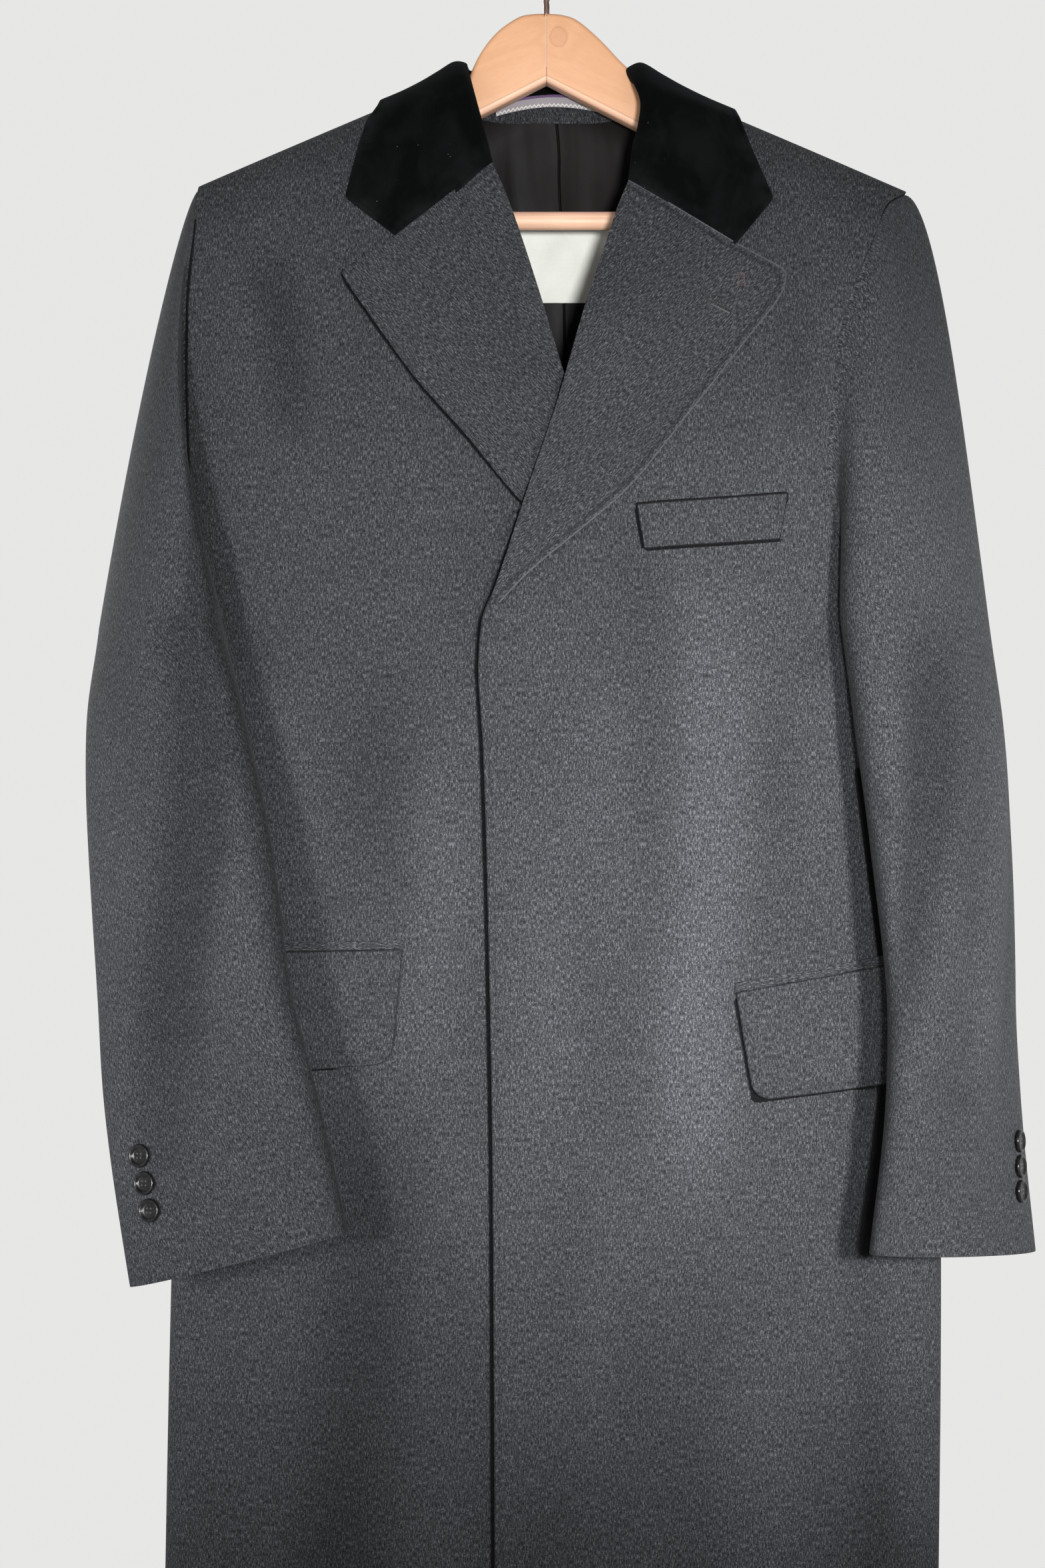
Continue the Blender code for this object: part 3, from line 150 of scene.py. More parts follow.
Ring = namedtuple("Ring", "z x y half_long half_short turn")
SLEEVES = sides_of(Ring, [
    (-0.46, 0.242, -0.004, 0.078, 0.034, 53), (-0.52, 0.2495, -0.008, 0.078, 0.034, 53),
    (-0.6, 0.257, -0.014, 0.076, 0.031, 53), (-0.7, 0.263, -0.022, 0.073, 0.028, 55),
    (-0.76, 0.264, -0.026, 0.071, 0.026, 51), (-0.865, 0.2625, -0.032, 0.077, 0.024, 41)
], [
    (-0.46, -0.253, -0.004, 0.077, 0.033, 64), (-0.52, -0.248, -0.02, 0.076, 0.032, 48),
    (-0.6, -0.237, -0.04, 0.075, 0.029, 36), (-0.7, -0.225, -0.058, 0.072, 0.026, 28),
    (-0.76, -0.2145, -0.068, 0.071, 0.024, 18), (-0.862, -0.194, -0.08, 0.0695, 0.021, 5)
])
CUFF_SLANT = {1: 0.006, -1: 0.018}
SHOULDER_ANGLE, UNDERARM_ANGLE = 145, -80
UNDERARM_RISE = 0.013
CAP_RISE = {1: 0.020, -1: 0.009}
CAP_DROP = (0.006, 0.150)
CAP_LEAN = {1: 0.13, -1: 0.165}
ARMHOLE_TUCK, ARMHOLE_OVERLAP = 0.0021, 0.0007      # the sleeve's edge lies under the body's
SLEEVE_CLEARANCE = 0.006
ARMHOLE_PLACES = 18        # places round the armhole; a seam of the sleeve starts at two of them
HALF_HOLE = 9              # the underarm's place
FORE_SEAM, HIND_SEAM = 8, 16

# Folds run from the top down. A fold's height is out of the cloth, below zero for a trough.
FoldPoint = namedtuple("FoldPoint", "z place height")
Fold = namedtuple("Fold", "width points")


def fold(width, *points):
    return Fold(width, rows_of(FoldPoint, points))


BODY_FOLDS = {
    -1: [fold(0.05, (-0.4, 0.096, 0.0), (-0.55, 0.1, 0.0045), (-0.7, 0.094, 0.004),
              (-0.9, 0.1, 0.0)),
         fold(0.045, (-0.46, -0.112, 0.0), (-0.56, -0.114, -0.0025), (-0.66, -0.11, 0.0)),
         fold(0.05, (-0.72, -0.102, 0.0), (-0.86, -0.114, -0.0035), (-1.185, -0.14, -0.0045)),
         fold(0.05, (-0.88, 0.14, 0.0), (-1.02, 0.146, 0.003), (-1.185, 0.152, 0.0045))],
    1: [fold(0.055, (-0.36, -0.115, 0.0), (-0.56, -0.11, -0.004), (-0.8, -0.122, -0.002),
             (-1.185, -0.13, -0.005)),
        fold(0.05, (-0.42, 0.085, 0.0), (-0.62, 0.092, 0.004), (-0.9, 0.1, 0.0)),
        fold(0.05, (-0.78, 0.16, 0.0), (-1.0, 0.152, -0.004), (-1.185, 0.148, -0.005)),
        fold(0.05, (-0.86, -0.05, 0.0), (-1.185, -0.056, 0.004))],
}
SLEEVE_FOLDS = {
    1: [fold(34, (-0.44, 64, 0.0), (-0.515, 58, -0.0045), (-0.6, 42, -0.005), (-0.665, 20, -0.004),
             (-0.73, 0, 0.0)),
        fold(36, (-0.56, -120, 0.0), (-0.66, -110, -0.004), (-0.8, -98, 0.0))],
    -1: [fold(34, (-0.455, 26, -0.003), (-0.52, 38, -0.0055), (-0.64, 74, -0.005),
              (-0.765, 108, -0.003), (-0.84, 118, 0.0)),
         fold(36, (-0.54, -130, 0.0), (-0.64, -116, -0.004), (-0.78, -100, 0.0))],
}

EDGE_SHADE = 0.0045        # painted shade of the right sleeve's front edge, counted as depth

# Smaller creases, each along its own points; on a sleeve a place is a millimetre per degree.
Crease = namedtuple("Crease", "width points")      # points are (place, z, height)
BODY_CREASES = {
    -1: [Crease(0.025, [(-0.19, -0.205, 0.0), (-0.174, -0.254, -0.0035), (-0.166, -0.31, -0.003),
                (-0.158, -0.37, 0.0)]),
         Crease(0.018, [(-0.06, -0.83, 0.0), (-0.062, -0.87, -0.0014), (-0.065, -0.925, 0.0)]),
         Crease(0.02, [(0.168, -0.235, 0.0), (0.16, -0.3, -0.0016), (0.166, -0.36, 0.0)]),
         Crease(0.016, [(-0.214, -0.44, 0.0), (-0.19, -0.47, -0.0016), (-0.16, -0.52, 0.0)]),
         Crease(0.017, [(0.205, -0.44, 0.0), (0.18, -0.475, -0.0018), (0.14, -0.505, 0.0)]),
         Crease(0.022, [(0.2, -0.8, 0.0), (0.206, -0.9, -0.0016), (0.214, -1.05, -0.0022),
                (0.218, -1.185, -0.0024)]),
         Crease(0.02, [(0.03, -0.78, 0.0), (0.034, -0.93, 0.0012), (0.03, -1.1, 0.0)]),
         Crease(0.028, [(0.056, -0.385, 0.0), (0.071, -0.465, -0.002), (0.072, -0.615, -0.0028),
                (0.064, -0.765, 0.0)]),
         Crease(0.034, [(0.088, -0.66, 0.0), (0.094, -0.76, 0.0024), (0.102, -0.85, 0.0)]),
         Crease(0.03, [(-0.078, -0.5, 0.0), (-0.072, -0.6, 0.002), (-0.076, -0.72, 0.0014),
                (-0.07, -0.8, 0.0)]),
         Crease(0.026, [(-0.16, -0.56, 0.0), (-0.162, -0.64, 0.0016), (-0.158, -0.72, 0.0)]),
         Crease(0.03, [(-0.01, -0.56, 0.0), (0.0, -0.7, 0.0016), (0.004, -0.86, 0.0)]),
         Crease(0.03, [(0.15, -0.48, 0.0), (0.146, -0.56, -0.0018), (0.15, -0.65, 0.0)])],
    1: [Crease(0.026, [(-0.03, -0.17, 0.0), (-0.036, -0.26, -0.0018), (-0.05, -0.36, 0.0)]),
        Crease(0.024, [(0.13, -0.2, 0.0), (0.15, -0.3, -0.0024), (0.176, -0.4, 0.0)]),
        Crease(0.018, [(0.205, -0.44, 0.0), (0.17, -0.48, -0.002), (0.12, -0.515, 0.0)]),
        Crease(0.018, [(-0.208, -0.44, 0.0), (-0.18, -0.47, -0.0018), (-0.13, -0.5, 0.0)]),
        Crease(0.022, [(0.04, -0.76, 0.0), (0.046, -0.9, 0.0018), (0.038, -1.05, 0.0)])],
}
SLEEVE_CREASES = {
    1: [Crease(0.022, [(0.128, -0.47, 0.0), (0.112, -0.56, 0.0022), (0.086, -0.7, 0.003),
               (0.074, -0.82, 0.0)]),
        Crease(0.016, [(-0.02, -0.56, 0.0), (0.006, -0.585, -0.0018), (0.034, -0.6, 0.0)]),
        Crease(0.016, [(0.02, -0.745, 0.0), (0.06, -0.762, -0.0012), (0.1, -0.77, 0.0)]),
        Crease(0.018, [(-0.15, -0.52, 0.0), (-0.12, -0.545, -0.0018), (-0.09, -0.56, 0.0)])],
    -1: [Crease(0.016, [(0.006, -0.58, 0.0), (0.034, -0.6, -0.0016), (0.062, -0.612, 0.0)]),
         Crease(0.014, [(0.05, -0.7, 0.0), (0.084, -0.716, -0.0012), (0.116, -0.722, 0.0)]),
         Crease(0.018, [(-0.15, -0.54, 0.0), (-0.118, -0.56, -0.0018), (-0.088, -0.57, 0.0)])],
}

Corner = namedtuple("Corner", "x z")
BREAST_WELT = rows_of(Corner, [
    (0.056, -0.386), (0.154, -0.377), (0.149, -0.407), (0.061, -0.4145)
])
FLAPS = sides_of(Corner, [
    (0.12, -0.6965), (0.226, -0.679), (0.229, -0.756), (0.132, -0.7665)
], [
    (-0.092, -0.669), (-0.214, -0.672), (-0.218, -0.752), (-0.099, -0.7425)
])

POCKET_LIFT, FLAP_CORNER = 0.0022, 0.012
JET_LIFT, JET_TOP, JET_LOW = 0.0012, 0.0062, 0.0002

# depths under the back's outer surface
FACING_DEPTH, LOOP_DEPTH, LABEL_DEPTH = 0.0046, 0.0062, 0.0064
LABEL_X, LABEL_WIDTH, LABEL_TOP, LABEL_LOW = 0.012, 0.080, -0.186, -0.241
LOOP_Z, LOOP_RISE, LOOP_HALF, LOOP_HEIGHT = -0.116, 0.006, 0.040, 0.008

# A button's profile from its middle over the rim to its underside, in radii and heights.
BUTTON_PROFILE = [(0.0, 0.62), (0.30, 0.60), (0.56, 0.60), (0.66, 0.68), (0.74, 0.90),
                  (0.80, 0.99), (0.86, 1.0), (0.92, 0.96), (0.97, 0.82), (1.0, 0.58),
                  (0.97, 0.34), (0.86, 0.12), (0.70, 0.0), (0.0, 0.0)]
BUTTON_ANGLE = {1: 125, -1: 129}
BUTTON_ZS = {1: (-0.793, -0.809, -0.825), -1: (-0.788, -0.804, -0.820)}
BUTTON_SHANK = {1: 0.0004, -1: 0.0}

ARM_FORWARD = 0.045
ARM_DOMES = {
    1: [(0.0, -0.0600), (0.0110, -0.0612), (0.0208, -0.0652), (0.0347, -0.0772),
        (0.0469, -0.0903), (0.0541, -0.0978), (0.0595, -0.1070), (0.0650, -0.1180)],
    -1: [(0.0, -0.0600), (0.0100, -0.0606), (0.0190, -0.0630), (0.0320, -0.0722),
         (0.0420, -0.0845), (0.0480, -0.0960), (0.0530, -0.1090), (0.0600, -0.1200)],
}
ARM_UNDER_CLOTH = 0.0085        # how far the arms' top lies under the shoulder
ARM_LOWER_Z, ARM_LOWER_SLOPE = -0.105, 0.52
ARM_ROUND = 0.0030
WOOD_THICKNESS = 0.016
ARM_END_X = 0.208
BAR_RADIUS = 0.006
BAR_Z = -0.196
BAR_HALF = 0.186
BAR_Y = -ARM_FORWARD * (BAR_HALF - 0.010)
HOOK_RADIUS, HOOK_Z, WIRE_RADIUS = 0.021, -0.019, 0.002

CAMERA_AT, CAMERA_LENS, CAMERA_SENSOR = (-0.0157, -1.95, -0.5633), 68.34, 36.0


# Edges that lie over another piece, as (x, z, width of the painted shadow line beside them).
FLY_LINE = [(edge.x, edge.z, 0.0013 if edge.z > -0.42 else 0.0030)
            for edge in reversed(OVER_FRONT_EDGE[8:])]
UNDER_LAPEL_LINE = [(row.edge_x, row.edge_z, 0.0024) for row in reversed(LAPELS[-1])]
COVERS = {
    -1: [FLY_LINE, UNDER_LAPEL_LINE,
         [(row.front, row.z, 0.0023 if row.z > -0.40 else 0.0014) for row in ARMHOLES[-1][1:]],
         [(-0.106, -0.7434, 0.0004), (-0.218, -0.7525, 0.0010)],
         [(-0.172, -0.6690, 0.0009), (-0.0935, -0.6676, 0.0010)]],
    1: [[(0.132, -0.7665, 0.0012), (0.1315, -0.7600, 0.0022), (0.120, -0.6965, 0.0020)],
        [(0.226, -0.7565, 0.0008), (0.132, -0.7670, 0.0012)],
        [(0.149, -0.4075, 0.0011), (0.0605, -0.4150, 0.0011), (0.0555, -0.3860, 0.0012),
         (0.154, -0.3770, 0.0011)],
        [(0.1225, -0.6905, 0.0009), (0.214, -0.6786, 0.0009)],
        # the painted shadow of the wearer's left sleeve on the front, wider towards the cuff
        [(0.2057, -0.8629, 0.0078), (0.2118, -0.8100, 0.0052), (0.2165, -0.7597, 0.0030),
         (0.2168, -0.6793, 0.0026), (0.1994, -0.5523, 0.0020)]],
}


# ---------------------------------------------------------------- small helpers
def clamp(value, low=0.0, high=1.0):
    return max(low, min(high, value))


def smooth(start, end, value):
    part = clamp((value - start) / (end - start))
    return part * part * (3.0 - 2.0 * part)


def mix(first, second, part):
    return first + (second - first) * part


def hermite(span, part, before, after, slope_before, slope_after):
    square, cube = part * part, part ** 3
    return ((2 * cube - 3 * square + 1) * before + (cube - 2 * square + part) * span * slope_before
            + (3 * square - 2 * cube) * after + (cube - square) * span * slope_after)


def read(rows, column, z):
    """A column of a table at height z, on a smooth curve without overshoot."""
    if z >= rows[0].z:
        return getattr(rows[0], column)
    if z <= rows[-1].z:
        return getattr(rows[-1], column)
    index = next(i for i in range(len(rows) - 1) if z >= rows[i + 1].z)

    def slope(i):
        first, second = rows[i], rows[i + 1]
        return (getattr(second, column) - getattr(first, column)) / (second.z - first.z)

    def tangent(i):
        if i == 0:
            return slope(0)
        if i == len(rows) - 1:
            return slope(i - 1)
        before, after = slope(i - 1), slope(i)
        return 0.0 if before * after <= 0.0 else 2.0 * before * after / (before + after)

    start, end = rows[index], rows[index + 1]
    span = end.z - start.z
    return hermite(span, (z - start.z) / span, getattr(start, column), getattr(end, column),
                   tangent(index), tangent(index + 1))


def through(points, place):
    """A point of the smooth curve through some points or numbers; place counts the points."""
    last = len(points) - 1
    index = min(int(clamp(place, 0.0, last)), last - 1)
    before, after = points[index], points[index + 1]
    slope_before = (after - points[index - 1]) * 0.5 if index > 0 else after - before
    slope_after = (points[index + 2] - before) * 0.5 if index < last - 1 else after - before
    return hermite(1.0, clamp(place, 0.0, last) - index, before, after, slope_before, slope_after)


def fold_height(folds, place, z, turn=None):
    height = 0.0
    for fold in folds:
        if fold.points[0].z <= z:
            continue
        away = place - read(fold.points, "place", z)
        if turn:
            away = (away + turn / 2) % turn - turn / 2
        part = away / fold.width
        if abs(part) < 1.0:
            height += read(fold.points, "height", z) * (1.0 - part * part) ** 2
    return height


def crease_height(creases, place, z):
    height = 0.0
    for width, points in creases:
        nearest = None
        for (x0, z0, h0), (x1, z1, h1) in zip(points, points[1:]):
            along_x, along_z = x1 - x0, z1 - z0
            part = clamp(((place - x0) * along_x + (z - z0) * along_z)
                         / (along_x * along_x + along_z * along_z))
            away = math.hypot(place - x0 - along_x * part, z - z0 - along_z * part)
            if away < width and (nearest is None or away < nearest[0]):
                nearest = away, mix(h0, h1, smooth(0.0, 1.0, part))
        if nearest:
            height += nearest[1] * (1.0 - (nearest[0] / width) ** 2) ** 2
    return height


def body_folds(face, x, z):
    return fold_height(BODY_FOLDS[face], x, z) + crease_height(BODY_CREASES[face], x, z)


def sleeve_folds(side, degrees, z):
    around = ((degrees + 180.0) % 360.0 - 180.0) * 0.001
    return (fold_height(SLEEVE_FOLDS[side], degrees, z, 360)
            + crease_height(SLEEVE_CREASES[side], around, z))


# Heights for the painted shade of a sleeve: its folds, and on the right sleeve the painted shade of
# its front edge.
def sleeve_shade_relief(side, degrees, z):
    height = sleeve_folds(side, degrees, z)
    if side < 0:        # this edge of the sleeve lies on the front and takes little light, so painted shade darkens it
        away = abs((degrees + 180.0) % 360.0 - 180.0)
        height -= EDGE_SHADE * smooth(34.0, 6.0, away) * smooth(-0.16, -0.24, z)
    return height


def ripple(place, z, seed):
    """The slight unevenness of cloth that hangs free."""
    return (noise.noise(Vector((place * 9.0, z * 5.0, seed))) * 0.0011
            + noise.noise(Vector((place * 30.0, z * 14.0, seed + 7.0))) * 0.0003)


# ---------------------------------------------------------------- the body's surface
def ridge_z(x):
    return SHOULDER_PEAK_Z - SHOULDER_SLOPE * abs(x)


def side_x(side, z):
    return read(LEVELS, "right_side" if side > 0 else "left_side", z)


def body_y(face, x, z, lifted=False):
    """Depth of the body's outer surface, face -1 in front and 1 behind."""
    side = 1 if x >= MIDDLE_X else -1
    part = clamp((x - MIDDLE_X) / (side_x(side, z) - MIDDLE_X))
    side_fall = (1.0 - part ** SECTION_POWER) ** (1.0 / SECTION_POWER)
    drop = clamp((ridge_z(x) - z) / SHOULDER_ROUND)
    shoulder_fall = math.sqrt(1.0 - (1.0 - drop) ** 2)
    depth = read(LEVELS, "front" if face < 0 else "back", z)
    depth += body_folds(face, x, z)
    depth += ripple(x, z, 3.0 * face) * smooth(-0.20, -0.50, z)
    y = read(LEVELS, "middle", z) + face * depth * side_fall * shoulder_fall
    if lifted:
        height = mix(OVERLAP_LIFT_LAPEL, OVERLAP_LIFT_FLY, smooth(-0.440, -0.520, z))
        y -= height * smooth(0.125, 0.068, x) * smooth(-0.215, -0.285, z)
    return y


def ridge_normal(x):
    return Vector((math.copysign(SHOULDER_SLOPE, x), 0.0, 1.0)).normalized()


NORMAL_STEP = 0.0006


def body_point(face, x, z, lifted=False):
    """A point of the body's outer surface and the outward direction there."""
    if face == 0:
        top = ridge_z(x)
        return Vector((x, read(LEVELS, "middle", top), top)), ridge_normal(x)
    step = NORMAL_STEP
    drop = ridge_z(x) - z

    def at(px, pz):
        return Vector((px, body_y(face, px, pz, lifted), pz))

    sink = max(drop, 2 * step)
    here = at(x, ridge_z(x) - sink)
    across = at(x + step, ridge_z(x + step) - sink) - at(x - step, ridge_z(x - step) - sink)
    down = at(x, ridge_z(x) - sink - step) - at(x, ridge_z(x) - sink + step)
    normal = across.cross(down).normalized()
    if normal.y * face < 0:
        normal = -normal
    return (at(x, z) if drop < 2 * step else here), normal


def grid_normals(grid):
    rows, columns = len(grid), len(grid[0])
    return [[((grid[r][min(c + 1, columns - 1)] - grid[r][max(c - 1, 0)])
              .cross(grid[min(r + 1, rows - 1)][c] - grid[max(r - 1, 0)][c])).normalized()
             for c in range(columns)] for r in range(rows)]


def moved(grid, normals, height):
    return [[point + normals[r][c] * (height(r, c) if callable(height) else height)
             for c, point in enumerate(line)] for r, line in enumerate(grid)]


def steps(count, start=0.0, end=1.0):
    return [mix(start, end, i / count) for i in range(count + 1)]


SHOULDER_ROW, UNDERARM_ROW, HEM_ROW = 4.0, 9.0, 22.0
ROW_RISE = 0.025        # how much higher a row is at its inner edge than at its outer one


def row_level(side, row):
    """Height of a row of a body panel at its inner and its outer edge; row is 0 to 22."""
    turned = math.pi / 2 * min(row / SHOULDER_ROW, 1.0)
    drop = SHOULDER_ROUND * (1.0 - math.cos(turned))
    inner, outer = ridge_z(NECK_X[side]) - drop, ridge_z(SHOULDER_END_X[side]) - drop
    if row > SHOULDER_ROW:
        part = clamp((row - SHOULDER_ROW) / (UNDERARM_ROW - SHOULDER_ROW))
        inner = mix(inner, UNDERARM_Z + ROW_RISE, part)
        outer = mix(outer, UNDERARM_Z, part)
    if row > UNDERARM_ROW:
        part = (row - UNDERARM_ROW) / (HEM_ROW - UNDERARM_ROW)
        outer = mix(UNDERARM_Z, HEM_Z, part)
        inner = outer + ROW_RISE * (1.0 - smooth(0.0, 0.25, part))
    return inner, outer


PANEL_ROWS = (steps(22, 0.0, SHOULDER_ROW)[:-1] + steps(46, SHOULDER_ROW, UNDERARM_ROW)[:-1]
              + steps(118, UNDERARM_ROW, HEM_ROW))


def outer_edge_x(side, face, z):
    if z < UNDERARM_Z - 1e-6:
        return side_x(side, z)
    return read(ARMHOLES[side], "front" if face < 0 else "back", z)


def section_angle(side, x, z):
    part = clamp(abs(x - MIDDLE_X) / abs(side_x(side, z) - MIDDLE_X))
    return math.asin(part ** (SECTION_POWER / 2.0)) * (1 if (x - MIDDLE_X) * side >= 0 else -1)


def section_x(side, angle, z):
    reach = abs(math.sin(angle)) ** (2.0 / SECTION_POWER) * (1 if angle >= 0 else -1)
    return MIDDLE_X + reach * (side_x(side, z) - MIDDLE_X)


def front_grid(side, inner_x, columns):
    grid = []
    for row in PANEL_ROWS:
        inner_z, outer_z = row_level(side, row)
        start_x, end_x = inner_x(inner_z), outer_edge_x(side, -1, outer_z)
        start, end = section_angle(side, start_x, outer_z), section_angle(side, end_x, outer_z)
        line = []
        for across in steps(columns):
            x = section_x(side, mix(start, end, across), outer_z)
            x = start_x if across == 0.0 else end_x if across == 1.0 else x
            z = mix(inner_z, outer_z, (x - start_x) / (end_x - start_x))
            line.append(Vector((x, body_y(-1, x, z, side > 0), z)))
        grid.append(line)
    return grid


BACK_COLUMNS, NECK_COLUMNS = 8, 3


def back_grid(side, row_places, column_places):
    """Points of half the back; columns are 0 at the centre seam to 8 at the armhole."""
    grid = []
    top_inner = row_level(side, 0.0)[0]
    neck_x = abs(NECK_X[side])
    for row in row_places:
        inner_z, outer_z = row_level(side, row)
        drop = top_inner - inner_z
        shoulder_drop = top_inner - row_level(side, min(row, SHOULDER_ROW))[0]
        crowded = BACK_NECK_Z - shoulder_drop * BACK_NECK_CROWDING
        start_z = mix(crowded, min(inner_z, BACK_NECK_Z - 0.0001), clamp(row - SHOULDER_ROW))
        follow = 1.0 - smooth(0.02, 0.16, drop)
        end_x = outer_edge_x(side, 1, outer_z)
        end = section_angle(side, end_x, outer_z)
        neck = section_angle(side, NECK_X[side], outer_z)
        line = []
        for column in column_places:
            if column <= NECK_COLUMNS:
                necked = neck * column / NECK_COLUMNS
            else:
                necked = mix(neck, end, (column - NECK_COLUMNS) / (BACK_COLUMNS - NECK_COLUMNS))
            angle = mix(end * column / BACK_COLUMNS, necked, follow)
            x = section_x(side, angle, outer_z)
            x = MIDDLE_X if column == 0 else end_x if column == BACK_COLUMNS else x
            z = mix(start_z, outer_z, (x - MIDDLE_X) / (end_x - MIDDLE_X))
            top = ridge_z(x)
            if abs(x) < neck_x:
                top = mix(BACK_NECK_Z, ridge_z(neck_x), smooth(0.35 * neck_x, neck_x, abs(x)))
            z = mix(z, top - drop * BACK_NECK_CROWDING, follow)
            line.append(Vector((x, body_y(1, x, z), z)))
        grid.append(line)
    return grid


# ---------------------------------------------------------------- sleeves
def ring_at(side, z):
    return Ring(z, *(read(SLEEVES[side], column, z) for column in Ring._fields[1:]))


def sleeve_point(side, ring, angle):
    turn = math.radians(ring.turn)
    lengthwise = Vector((-side * math.cos(turn), -math.sin(turn), 0.0))
    outwards = Vector((side * math.sin(turn), -math.cos(turn), 0.0))
    slant = CUFF_SLANT[side] * smooth(-0.60, -0.86, ring.z) * math.cos(angle)
    point = Vector((ring.x, ring.y, ring.z + slant))
    point += lengthwise * (ring.half_long * math.cos(angle))
    point += outwards * (ring.half_short * math.sin(angle))
    normal = (lengthwise * (ring.half_short * math.cos(angle))
              + outwards * (ring.half_long * math.sin(angle))).normalized()
    return point + normal * (sleeve_folds(side, math.degrees(angle), ring.z)
                             + ripple(math.cos(angle) * 0.08, ring.z, 20.0 * side)
                             * smooth(-0.46, -0.56, ring.z))


def clear_of_body(point, clearance):
    side = 1 if point.x >= MIDDLE_X else -1
    middle = read(LEVELS, "middle", point.z)
    face = -1 if point.y < middle else 1
    wide = abs(side_x(side, point.z) - MIDDLE_X) + clearance
    deep = read(LEVELS, "front" if face < 0 else "back", point.z) + clearance
    reach = ((abs(point.x - MIDDLE_X) / wide) ** SECTION_POWER
             + (abs(point.y - middle) / deep) ** SECTION_POWER) ** (1.0 / SECTION_POWER)
    if reach >= 1.0:
        return point
    return Vector((MIDDLE_X + (point.x - MIDDLE_X) / reach,
                   middle + (point.y - middle) / reach, point.z))


def armhole_point(side, place):
    """A point of the armhole: 0 at the shoulder, down the front to 9, up the back to 18."""
    place %= ARMHOLE_PLACES
    face, row = (-1, place) if place <= HALF_HOLE else (1, ARMHOLE_PLACES - place)
    z = row_level(side, row)[1]
    x = outer_edge_x(side, face, z)
    return Vector((x, body_y(face, x, z), z))


def ring_angle(place):
    if place < 0:
        return ring_angle(place + ARMHOLE_PLACES) + 2 * math.pi
    if place <= HALF_HOLE:
        return math.radians(mix(SHOULDER_ANGLE, UNDERARM_ANGLE, place / HALF_HOLE))
    return math.radians(mix(UNDERARM_ANGLE, SHOULDER_ANGLE - 360.0,
                            (place - HALF_HOLE) / HALF_HOLE))


CAP_STEPS = 34
SLEEVE_STEPS = 104


def sleeve_grid(side, places):
    """Rows down a sleeve piece, from the armhole to the cuff."""
    top = ring_at(side, SLEEVES[side][0].z)
    hole = [armhole_point(side, place) for place in range(ARMHOLE_PLACES)]
    middle = sum(hole, Vector()) / ARMHOLE_PLACES
    outwards = Vector((side, 0.0, -0.25)).normalized()
    grid = [[] for _ in range(CAP_STEPS)]
    for place in places:
        start = armhole_point(side, place)
        end = clear_of_body(sleeve_point(side, top, ring_angle(place)), SLEEVE_CLEARANCE)
        crown = 0.5 + 0.5 * math.cos(2 * math.pi * place / ARMHOLE_PLACES)
        first = start + outwards * mix(UNDERARM_RISE, CAP_RISE[side], crown)
        second = end + Vector((-side * CAP_LEAN[side], 0.0, 1.0)) * mix(*CAP_DROP, crown)
        inwards = middle - start
        inwards.x = 0.0
        start = (start + inwards.normalized() * ARMHOLE_TUCK
                 - Vector((side * ARMHOLE_OVERLAP, 0.0, 0.0)))
        for ring in range(CAP_STEPS):
            t = ring / CAP_STEPS
            grid[ring].append(start * (1 - t) ** 3 + first * (3 * t * (1 - t) ** 2)
                              + second * (3 * t * t * (1 - t)) + end * t ** 3)
    for z in steps(SLEEVE_STEPS, top.z, SLEEVES[side][-1].z):
        section = ring_at(side, z)
        grid.append([clear_of_body(sleeve_point(side, section, ring_angle(place)), SLEEVE_CLEARANCE)
                     for place in places])
    return grid


# ---------------------------------------------------------------- lapels, pockets, collar
def rounded(from_side, from_end, radius):
    """New distances from the two edges that meet at a corner, so that the corner is round."""
    if from_side >= radius or from_end >= radius:
        return from_side, from_end
    across, along = radius - from_side, radius - from_end
    length = math.hypot(across, along)
    if length == 0.0:
        return from_side, from_end
    scale = max(across, along) / length
    return radius - across * scale, radius - along * scale


def lapel_grid(side, columns, rows):
    """Rows across the lapel, from its roll line to its outer edge."""
    table = LAPELS[side]
    grid, normals = [], []
    notch_x, notch_z = NOTCH[side]
    first = table[0]
    notch = abs(notch_x - first.roll_x) / abs(first.edge_x - first.roll_x)
    dip = notch_z - mix(first.roll_z, first.edge_z, notch)
    for place in [(i / rows) ** 1.25 * (len(table) - 1) for i in range(rows + 1)]:
        row = LapelRow(*(through([getattr(r, name) for r in table], place)
                         for name in LapelRow._fields))
        width = math.hypot(row.edge_x - row.roll_x, row.edge_z - row.roll_z)
        line, line_normals = [], []
        for part in steps(columns):
            across = 1.0 - (1.0 - part) ** 1.15
            from_edge = (1.0 - across) * width
            from_top = place * LAPEL_ROW
            from_edge, from_top = rounded(from_edge, from_top, LAPEL_CORNER)
            across, level = 1.0 - from_edge / width, from_top / LAPEL_ROW
            x = mix(row.roll_x, row.edge_x, across)
            z = mix(row.roll_z, row.edge_z, across)
            if level != place:
                x += (level - place) * (table[1].edge_x - table[0].edge_x)
                z += (level - place) * (table[1].edge_z - table[0].edge_z)
            if level < 1.0:
                bend = across / notch if across < notch else (1 - across) / (1 - notch)
                z += bend * dip * (1.0 - level)
            point, normal = body_point(-1, x, z, side > 0)
            roll = LAPEL_ROLL_HEIGHT * mix(1.0, 0.3, place / (len(table) - 1))
            lift = LAPEL_GAP + roll * math.sin(math.pi * (1.0 - across) ** 2)
            line.append(point + normal * (lift + LAPEL_THICKNESS))
            line_normals.append(normal)
        grid.append(line)
        normals.append(line_normals)
    return grid


